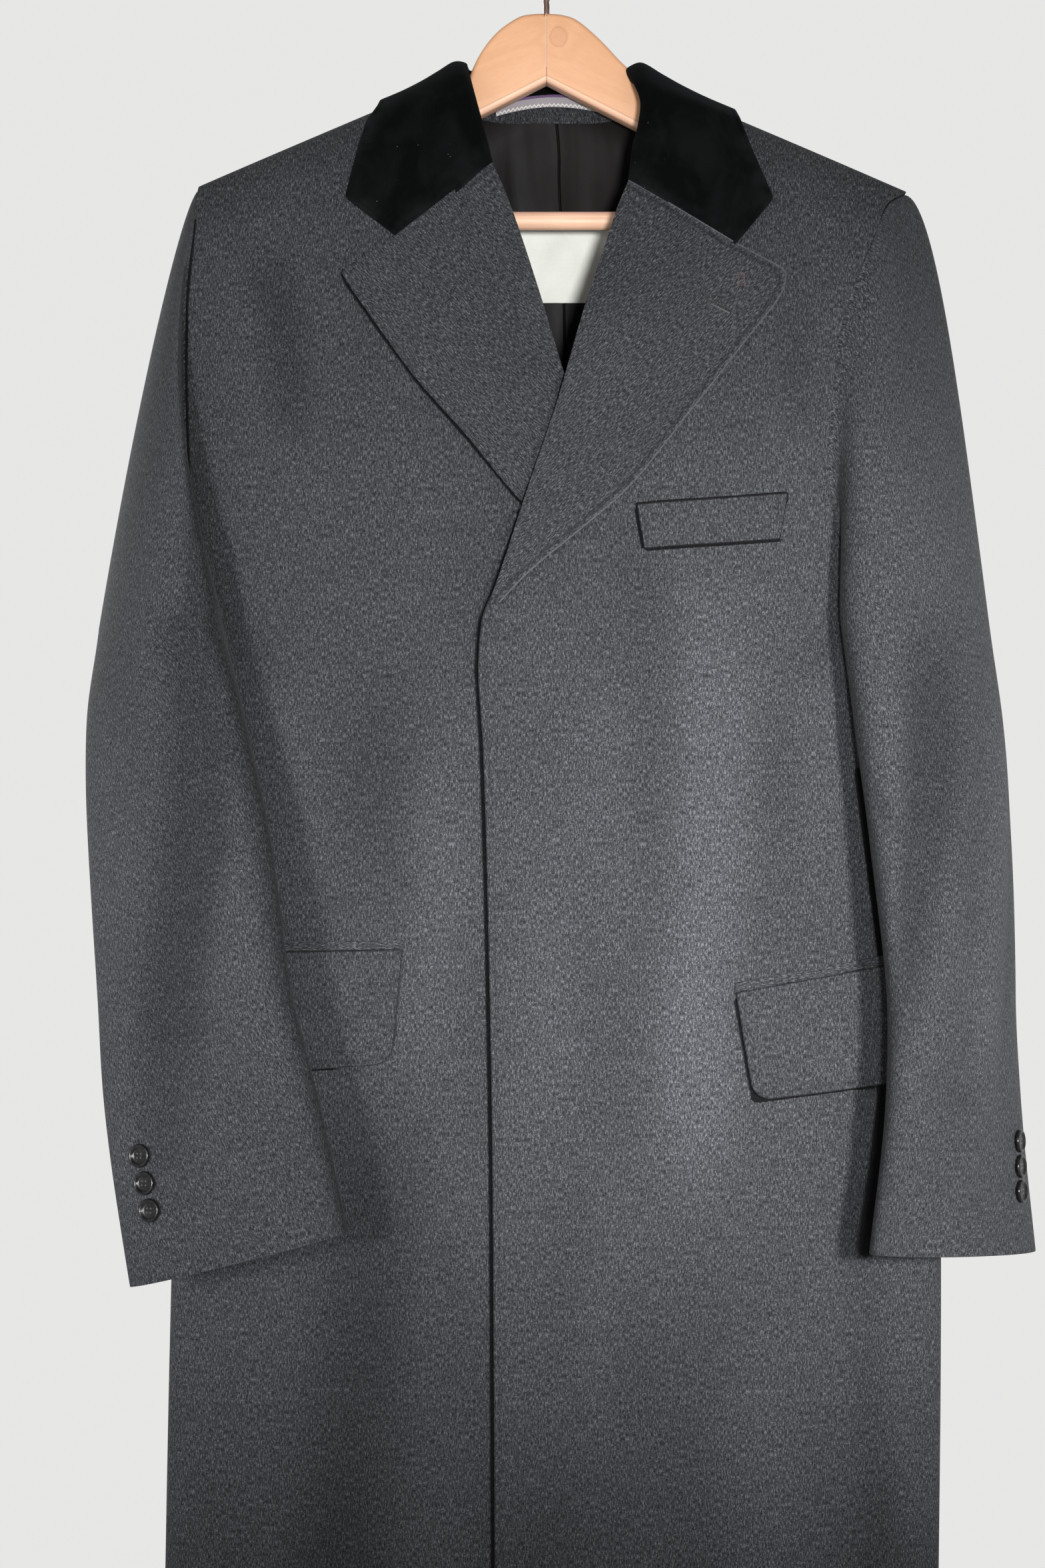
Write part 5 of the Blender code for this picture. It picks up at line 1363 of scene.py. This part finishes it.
class CoatTrim(bpy.types.PropertyGroup):
    velvet: FloatVectorProperty(name="Velvet", description="Colour of the velvet collar", **COLOUR,
                                default=(0.0022, 0.0025, 0.0026))
    satin: FloatVectorProperty(name="Satin", description="Colour of the satin lining", **COLOUR,
                               default=(0.0034, 0.0025, 0.0022))
    satin_seam: FloatProperty(name="Lining seam", description="Place of the lining's centre seam",
                              default=0.0199, unit="LENGTH", precision=4)
    horn: FloatVectorProperty(name="Button", description="Colour of the cuff buttons", **COLOUR,
                              default=(0.0035, 0.0033, 0.0035))
    button_radius: FloatProperty(name="Button radius", description="Radius of a cuff button",
                                 default=0.0075, **LENGTH)
    button_thickness: FloatProperty(name="Button thickness", description="Height of a cuff button",
                                    default=0.0032, **LENGTH)


class HangerFinish(bpy.types.PropertyGroup):
    wood: FloatVectorProperty(name="Wood", description="Light part of the hanger's wood", **COLOUR,
                              default=(0.69, 0.372, 0.203))
    wood_grain: FloatVectorProperty(name="Wood grain", description="Darker lines of the wood",
                                    **COLOUR, default=(0.66, 0.346, 0.184))
    bar: FloatVectorProperty(name="Bar", description="Colour of the trouser bar", **COLOUR,
                             default=(0.86, 0.535, 0.37))
    wire: FloatVectorProperty(name="Wire", description="Colour of the hook's wire", **COLOUR,
                              default=(0.26, 0.17, 0.15))


class CoatStudio(bpy.types.PropertyGroup):
    floor_z: FloatProperty(name="Floor height", description="Height of the floor", default=-1.60,
                           unit="LENGTH")
    floor: FloatVectorProperty(name="Floor colour", description="Colour of the plain floor",
                               **COLOUR, default=(0.78, 0.78, 0.775))
    key_power: FloatProperty(name="Key light",
                             description="Power of the soft main light, in watts", default=200.0,
                             min=0.0)
    key_cone: FloatProperty(name="Key cone",
                            description="Whole angle of the main light, in degrees", default=31.0,
                            min=10.0, max=170.0)
    back_power: FloatProperty(name="Back light", description="Power of the light behind, in watts",
                              default=34.0, min=0.0)
    air: FloatProperty(name="Air light", description="Strength of the pale surroundings",
                       default=0.80, min=0.0)


# ---------------------------------------------------------------- an operator for each group
class COAT_OT_backs(bpy.types.Operator):
    """Both halves of the back, joined by the centre seam"""
    bl_idname = "coat.backs"
    bl_label = "Backs"

    def execute(self, context):
        size = context.scene.coat_cloth
        for side, name in SIDES:
            points = back_grid(side, PANEL_ROWS, steps(54, 0.0, BACK_COLUMNS))
            piece = lay_sheet("cloth_back_" + name, points, grain_by_height(points, side),
                              size.wall, cloth_finish(), relief=lambda p: body_folds(1, p.x, p.z))
            place_piece(piece, "cloth", "back_" + name)
        return {"FINISHED"}


class COAT_OT_fronts(bpy.types.Operator):
    """Both fronts: the left one with the fly lies over the right one"""
    bl_idname = "coat.fronts"
    bl_label = "Fronts"

    def execute(self, context):
        size = context.scene.coat_cloth
        edges = {1: OVER_FRONT_EDGE, -1: UNDER_FRONT_EDGE}
        for side, name in SIDES:
            points = front_grid(side, lambda z: read(edges[side], "x", z), 66)
            # each front gets painted shade in its fold hollows and painted shadow lines beside the
            # edges over it
            piece = lay_sheet("cloth_front_" + name, points, grain_by_height(points, side),
                              size.wall, cloth_finish(), "left" if side > 0 else "",
                              edge_round=0.0008 if side > 0 else None,
                              relief=lambda p: body_folds(-1, p.x, p.z), covers=COVERS[side])
            place_piece(piece, "cloth", "front_" + name)
        return {"FINISHED"}


class COAT_OT_sleeves(bpy.types.Operator):
    """Top sleeve and under sleeve of each arm"""
    bl_idname = "coat.sleeves"
    bl_label = "Sleeves"

    def execute(self, context):
        size = context.scene.coat_cloth
        for side, name in SIDES:
            ranges = (("top_sleeve_", steps(84, HIND_SEAM - ARMHOLE_PLACES, FORE_SEAM)),
                      ("under_sleeve_", steps(50, FORE_SEAM, HIND_SEAM)))
            for kind, places in ranges:
                points = sleeve_grid(side, places)

                def outward(point):
                    ring = ring_at(side, min(point.z, -0.30))
                    return Vector((point.x - ring.x, point.y - ring.y, 0.0))

                # fold heights and the front edge's painted shade, kept for the sleeve's painted
                # shade
                shade_depths = {}
                for line in points:
                    for place, point in zip(places, line):
                        shade_depths[tuple(round(v, 5) for v in point)] = sleeve_shade_relief(
                            side, math.degrees(ring_angle(place)), point.z)
                piece = lay_sheet("cloth_" + kind + name, points,
                                  grain_of_sleeve(points, places[0]), size.wall, cloth_finish(),
                                  outward=outward,
                                  relief=lambda p: shade_depths[tuple(round(v, 5) for v in p)])
                place_piece(piece, "cloth", kind + name)
        return {"FINISHED"}


class COAT_OT_lapels(bpy.types.Operator):
    """Both lapels, with the buttonhole and the tack"""
    bl_idname = "coat.lapels"
    bl_label = "Lapels"

    def execute(self, context):
        for side, name in SIDES:
            points = lapel_grid(side, 44, 110)
            table = LAPELS[side]
            edge = (table[6].edge_x - table[1].edge_x, table[6].edge_z - table[1].edge_z)
            # the right lapel also gets a painted shadow line beside the fly edge that lies over it
            piece = lay_sheet("cloth_lapel_" + name, points, grain_along(points, edge),
                              LAPEL_THICKNESS,
                              cloth_finish("lapel_cloth_" + name, *LAPEL_EDGE_LOOK[side]),
                              "right top", edge_round=0.0013,
                              covers=[FLY_LINE] if side < 0 else [])
            place_piece(piece, "cloth", "lapel_" + name)

        def sewn(name, spots, lift, radius, colour):
            line = []
            for place in steps(24, 0.0, len(spots) - 1):
                spot = through([Vector(pair) for pair in spots], place)
                point, normal = body_point(-1, spot.x, spot.y, True)
                line.append(point + normal * (LAPEL_GAP + LAPEL_THICKNESS + lift))
            piece = tube_piece(name, line, radius, thread_finish(name + "_thread", colour), 6)
            place_piece(piece, "cloth")

        # painted shadow: the slit is a near-black thread where the buttonhole's opening lies in
        # shade; the lighter lip below it is a painted highlight
        sewn("buttonhole_slit", [(0.0950, -0.2540), (0.1055, -0.2578), (0.1160, -0.2622)], 0.0002,
             0.00070, (0.002, 0.002, 0.0025))
        sewn("buttonhole_lip", [(0.0942, -0.2556), (0.1048, -0.2595), (0.1154, -0.2640)], 0.0001,
             0.00045, (0.085, 0.088, 0.095))
        sewn("loose_tack", [(0.1216, -0.2466), (0.1218, -0.2392), (0.1238, -0.2380),
                            (0.1252, -0.2394), (0.1256, -0.2468)], 0.0002,
             0.00032, (0.10, 0.026, 0.024))
        return {"FINISHED"}


class COAT_OT_collar(bpy.types.Operator):
    """The velvet collar"""
    bl_idname = "coat.collar"
    bl_label = "Velvet collar"

    def execute(self, context):
        last = len(COLLAR) - 1
        places = (steps(60, 0.0, 2.0) + steps(112, 2.0, last - 2.0)[1:-1]
                  + steps(60, last - 2.0, last))
        points = refined(collar_sections(), places, 56, (1, last - 1))
        piece = lay_sheet("velvet_top_collar", points, grain_by_length(points), COLLAR_THICKNESS,
                          velvet_finish(), "right top bottom", edge_round=0.0011)
        place_piece(piece, "velvet", "velvet_collar")
        return {"FINISHED"}


class COAT_OT_pockets(bpy.types.Operator):
    """Hip flaps with their jets, and the breast welt"""
    bl_idname = "coat.pockets"
    bl_label = "Pockets"

    def execute(self, context):
        cloth = cloth_finish()
        for side, name in SIDES:
            corners = FLAPS[side]
            points = patch_grid(corners, POCKET_LIFT, 60, 44, FLAP_CORNER, 0.0012)
            piece = lay_sheet("cloth_flap_" + name, points, grain_along(points, (0.0, -1.0)),
                              POCKET_LIFT, cloth, "left right bottom top", edge_round=0.0009)
            place_piece(piece, "cloth", "flap_" + name)
            jet = [Corner(corners[end].x, corners[end].z + up)
                   for end, up in ((0, JET_TOP), (1, JET_TOP), (1, JET_LOW), (0, JET_LOW))]
            points = patch_grid(jet, JET_LIFT, 60, 6)
            strip = lay_sheet("cloth_jet_" + name, points, grain_along(points, (-1.0, 0.0)),
                              JET_LIFT, cloth, edge_round=0.0005)
            place_piece(strip, "cloth")
        points = patch_grid(BREAST_WELT, POCKET_LIFT, 60, 20, 0.0, 0.0010)
        # the welt's edges get a strong painted shade line
        piece = lay_sheet("cloth_breast_welt", points, grain_along(points, (0.0, -1.0)), 0.0020,
                          cloth_finish("welt_cloth", 0.1, 0.95), "left right top bottom",
                          edge_round=0.0009)
        place_piece(piece, "cloth", "breast_welt")
        return {"FINISHED"}


class COAT_OT_inside(bpy.types.Operator):
    """Facing, lining, bare label and hanging loop inside the neck"""
    bl_idname = "coat.inside"
    bl_label = "Inside the neck"

    def execute(self, context):
        def whole(rows, columns, reach):
            halves = [back_grid(side, rows, steps(columns, 0.0, reach)) for side in (-1, 1)]
            grid = [list(reversed(first)) + second[1:] for first, second in zip(*halves)]
            normals = grid_normals(grid)
            if normals[len(grid) // 2][columns].y < 0:
                normals = [[-normal for normal in line] for line in normals]
            return grid, normals

        def inwards(point):
            return Vector((0.0, -1.0, 0.0))

        grid, normals = whole(steps(120, 2.0, 21.0), 44, 7.0)

        def pleat(r, c):
            x, z = grid[r][c].x, grid[r][c].z
            wave = math.sin(x * 150.0 + math.sin(z * 26.0 + x * 30.0) * 0.8) * 0.0010
            wave += noise.noise(Vector((x * 34.0, z * 7.0, 2.0))) * 0.0012
            return -0.0034 - 0.0008 + wave * smooth(-0.125, -0.165, z)

        points = moved(grid, normals, pleat)
        piece = lay_sheet("satin_back_lining", points, grain_by_height(points), 0.0006,
                          satin_finish(), outward=inwards)
        place_piece(piece, "satin", "back_lining")

        grid, normals = whole(steps(24, 0.0, 2.15), 24, 3.0)
        points = moved(grid, normals, -FACING_DEPTH)
        piece = lay_sheet("cloth_neck_facing", points, grain_by_height(points), 0.0016,
                          cloth_finish(), outward=inwards)
        facing = place_piece(piece, "cloth", "back_neck_facing")

        def inside(rows, depth):
            lines = []
            for row in rows:
                line = []
                for x, z in row:
                    point, normal = body_point(1, x, z)
                    line.append(point - normal * depth)
                lines.append(line)
            return lines

        rows = [[(LABEL_X + LABEL_WIDTH * (part - 0.5), z) for part in steps(32)]
                for z in steps(26, LABEL_TOP, LABEL_LOW)]
        piece = lay_sheet("white_label", inside(rows, LABEL_DEPTH), rows, 0.0006,
                          label_finish(), outward=inwards)
        place_piece(piece, "label", "label")

        rows, grain = [], []
        for down in steps(8):
            row = []
            for across in steps(60, -1.0, 1.0):
                z = LOOP_Z + LOOP_RISE * (1 - across ** 2) + LOOP_HEIGHT * (0.5 - down)
                row.append((MIDDLE_X + LOOP_HALF * across, z))
            rows.append(row)
            grain.append([(0.045 * across + 0.05, 0.0085 * (1.0 - down))
                          for across in steps(60, -1.0, 1.0)])
        piece = lay_sheet("woven_hanging_loop", inside(rows, LOOP_DEPTH), grain, 0.0010,
                          loop_finish(), outward=inwards)
        place_piece(piece, "loop", "hanging_loop")
        return {"FINISHED"}


class COAT_OT_buttons(bpy.types.Operator):
    """Six cuff buttons with four holes and thread"""
    bl_idname = "coat.buttons"
    bl_label = "Cuff buttons"

    def execute(self, context):
        trim = context.scene.coat_trim
        radius, high = trim.button_radius, trim.button_thickness
        for side, name in SIDES:
            angle = math.radians(BUTTON_ANGLE[side])
            for number, z in enumerate(BUTTON_ZS[side], start=1):
                here = sleeve_point(side, ring_at(side, z), angle)
                along = (sleeve_point(side, ring_at(side, z), angle + 0.04)
                         - sleeve_point(side, ring_at(side, z), angle - 0.04))
                below = sleeve_point(side, ring_at(side, z - 0.01), angle)
                facing = along.cross(below - here).normalized()
                facing = -facing if facing.y > 0 else facing
                turn = (Matrix.Translation(here + facing * BUTTON_SHANK[side])
                        @ facing.to_track_quat("Z", "Y").to_matrix().to_4x4())
                shape = bmesh.new()
                points = [shape.verts.new((radius * out, 0.0, high * up))
                          for out, up in BUTTON_PROFILE]
                edges = [shape.edges.new(pair) for pair in zip(points, points[1:])]
                bmesh.ops.spin(shape, geom=points + edges, cent=(0, 0, 0), axis=(0, 0, 1),
                               angle=2 * math.pi, steps=48, use_merge=True)
                bmesh.ops.remove_doubles(shape, verts=shape.verts, dist=0.00001)
                bmesh.ops.transform(shape, matrix=turn, verts=shape.verts)
                piece = mesh_piece(f"horn_button_{name}_{number}", shape, horn_finish())
                place_piece(piece, "horn", f"cuff_button_{name}_{number}")
                holes = bmesh.new()
                for x in (-1, 1):
                    for y in (-1, 1):
                        spot = Matrix.Translation((x * 0.0013, y * 0.0013, high * 0.62))
                        bmesh.ops.create_cone(holes, cap_ends=True, segments=12, radius1=0.00062,
                                              radius2=0.00062, depth=0.0002, matrix=turn @ spot)
                piece = mesh_piece(f"button_holes_{name}_{number}", holes,
                                   thread_finish("dark_thread", (0.035, 0.035, 0.038)))
                place_piece(piece, "horn")
        return {"FINISHED"}


class COAT_OT_hanger(bpy.types.Operator):
    """Two wooden arms, the trouser bar and the wire hook"""
    bl_idname = "coat.hanger"
    bl_label = "Hanger"

    def execute(self, context):
        end_top = ridge_z(ARM_END_X) - ARM_UNDER_CLOTH
        end_low = ARM_LOWER_Z - ARM_LOWER_SLOPE * (ARM_END_X - 0.012)
        for side, name in SIDES:
            top = ARM_DOMES[side] + [(0.0780, -0.1235)]
            top += [(x, ridge_z(x) - ARM_UNDER_CLOTH) for x in (0.105, 0.140, 0.175)]
            top += [(ARM_END_X - 0.006, end_top + 0.0005)]
            curve = [Vector(pair) for pair in top]
            outline = [through(curve, place) for place in steps(66, 0.0, len(curve) - 1)]
            outline += [Vector((ARM_END_X, mix(end_top, end_low, part))) for part in (0.3, 0.75)]
            outline += [Vector((ARM_END_X - 0.008, end_low))]
            outline += [Vector((x, ARM_LOWER_Z - ARM_LOWER_SLOPE * x))
                        for x in (0.160, 0.110, 0.055, 0.0)]
            shape = bmesh.new()
            corners = [shape.verts.new((side * max(p.x, 0.00015), -WOOD_THICKNESS / 2, p.y))
                       for p in outline]
            face = shape.faces.new(corners)
            back = bmesh.ops.extrude_face_region(shape, geom=[face])["geom"]
            back = [v for v in back if isinstance(v, bmesh.types.BMVert)]
            bmesh.ops.translate(shape, verts=back, vec=(0, WOOD_THICKNESS, 0))
            bmesh.ops.recalc_face_normals(shape, faces=shape.faces)
            rim = [e for e in shape.edges if abs(e.verts[0].co.y - e.verts[1].co.y) < 1e-6
                   and abs(e.verts[0].co.x) + abs(e.verts[1].co.x) > 0.002]
            bmesh.ops.bevel(shape, geom=rim, offset=ARM_ROUND, segments=5, profile=0.5,
                            affect="EDGES", material=-1)
            for point in shape.verts:
                point.co.y -= ARM_FORWARD * abs(point.co.x)
            arm = mesh_piece("wooden_arm_" + name, shape,
                             wood_finish("pale_wood_" + name, -side * 0.42, 3.0 + side), 35)
            place_piece(arm, "wood", "hanger_arm_" + name)

        shape = bmesh.new()
        lying = Matrix.Translation((0.0, BAR_Y, BAR_Z)) @ Matrix.Rotation(math.pi / 2, 4, "Y")
        bmesh.ops.create_cone(shape, cap_ends=True, segments=40, radius1=BAR_RADIUS,
                              radius2=BAR_RADIUS, depth=2 * BAR_HALF, matrix=lying)
        bar = mesh_piece("cream_trouser_bar", shape, bar_finish())
        place_piece(bar, "bar", "trouser_bar")

        points = [Vector((0.0, 0.0, -0.0600)), Vector((0.0, 0.0, -0.0540)),
                  Vector((0.0001, 0.0, -0.0495)), Vector((0.0042, 0.0, -0.0445))]
        for step in range(13):
            angle = math.radians(-52 + step * 21)
            points.append(Vector((HOOK_RADIUS * math.cos(angle), 0.0,
                                  HOOK_Z + HOOK_RADIUS * math.sin(angle))))
        line = [through(points, place) for place in steps(96, 0.0, len(points) - 1)]
        hook = tube_piece("bent_hook", line, lambda part: WIRE_RADIUS * math.sqrt(
            clamp((1.0 - part) * 60.0 + 0.05)), wire_finish(), sides=16)
        place_piece(hook, "wire", "hook")
        return {"FINISHED"}


class COAT_OT_studio(bpy.types.Operator):
    """Plain floor, soft light and the camera"""
    bl_idname = "coat.studio"
    bl_label = "Studio"

    def execute(self, context):
        studio = context.scene.coat_studio
        shape = bmesh.new()
        bmesh.ops.create_circle(shape, cap_ends=True, segments=96, radius=1.9,
                                matrix=Matrix.Translation((0.0, 0.0, studio.floor_z)))
        for face in shape.faces:
            if face.normal.z < 0:
                face.normal_flip()
        mesh = bpy.data.meshes.new("floor")
        shape.to_mesh(mesh)
        shape.free()
        mesh.materials.append(floor_finish())
        floor = linked("floor", mesh)

        world = bpy.data.worlds.new("pale_surroundings")
        world.use_nodes = True
        made = Wiring(world.node_tree)
        around = made.add("SeparateXYZ", {"Vector": made.add("TexCoord")}).node.outputs
        shades = []
        for axis, reach, first, last in ((2, (0.30, 0.80), (1.0, 0.995, 0.99), (0.30, 0.30, 0.30)),
                                         (1, (-0.60, 0.60), (0.80, 0.80, 0.80), (1.0, 1.0, 1.0))):
            shades.append(made.ramp(made.range(around[axis], *reach), ((0.0, first), (1.0, last))))
        made.set(world.node_tree.nodes["Background"],
                 {"Color": made.blend(1.0, *shades, "MULTIPLY"), "Strength": studio.air})
        context.scene.world = world

        front, beside = Vector((0.20, -2.25, -0.50)), Vector((0.98, -2.05, -0.46))
        behind, left = Vector((-1.0, 2.2, 0.1)), Vector((-1.35, -1.95, -0.55))
        power, cone = studio.key_power, studio.key_cone
        lights = (("key_left", "SPOT", front, power * 0.55, 0.10, cone + 3, (0.17, 0.0, -0.47)),
                  ("key_right", "SPOT", front, power * 0.55, 0.10, cone + 3, (-0.20, 0.0, -0.49)),
                  ("side_key", "SPOT", beside, power * 1.8, 0.13, cone - 6, (0.30, 0.0, -0.66)),
                  ("left_fill", "SPOT", left, power * 1.8, 0.32, 22.0, (-0.38, 0.0, -0.66)),
                  ("back_light", "AREA", behind, studio.back_power, 1.2, 0.0, (0.0, 0.0, -0.56)))
        for name, kind, place, power, width, angle, aim in lights:
            light = bpy.data.lights.new(name, kind)
            light.energy = power
            if kind == "SPOT":
                light.shadow_soft_size = width
                light.spot_size = math.radians(angle)
                light.spot_blend = 0.8
            else:
                light.size = width
            lamp = linked(name, light)
            lamp.location = place
            lamp.rotation_euler = (Vector(aim) - place).to_track_quat("-Z", "Y").to_euler()

        lens = bpy.data.cameras.new("camera")
        lens.sensor_width = CAMERA_SENSOR
        lens.lens = CAMERA_LENS
        lens.clip_start, lens.clip_end = 0.05, 50.0
        camera = linked("camera", lens)
        camera.location = CAMERA_AT
        camera.rotation_euler = (math.pi / 2, 0.0, 0.0)
        context.scene.camera = camera
        context.scene.view_settings.view_transform = "Standard"
        return {"FINISHED"}


class COAT_PT_panel(bpy.types.Panel):
    """Pieces of the coat and their sizes and colours"""
    bl_label = "Covert coat"
    bl_idname = "COAT_PT_panel"
    bl_space_type = "VIEW_3D"
    bl_region_type = "UI"
    bl_category = "Coat"

    def draw(self, context):
        for group in GROUPS:
            values = getattr(context.scene, group)
            box = self.layout.box()
            for name in type(values).__annotations__:
                box.prop(values, name)
        for operator in OPERATORS:
            self.layout.operator(operator.bl_idname)


GROUPS = {"coat_cloth": CoatCloth, "coat_trim": CoatTrim, "hanger_finish": HangerFinish,
          "coat_studio": CoatStudio}
OPERATORS = (COAT_OT_studio, COAT_OT_backs, COAT_OT_fronts, COAT_OT_sleeves, COAT_OT_lapels,
             COAT_OT_pockets, COAT_OT_collar, COAT_OT_inside, COAT_OT_buttons, COAT_OT_hanger)


def register():
    for kind in (*GROUPS.values(), *OPERATORS, COAT_PT_panel):
        bpy.utils.register_class(kind)
    for name, kind in GROUPS.items():
        setattr(bpy.types.Scene, name, PointerProperty(type=kind))


def unregister():
    for name in GROUPS:
        delattr(bpy.types.Scene, name)
    for kind in reversed((*GROUPS.values(), *OPERATORS, COAT_PT_panel)):
        bpy.utils.unregister_class(kind)


def main():
    register()
    for operator in OPERATORS:
        group, name = operator.bl_idname.split(".")
        getattr(getattr(bpy.ops, group), name)()


if __name__ == "__main__":
    main()
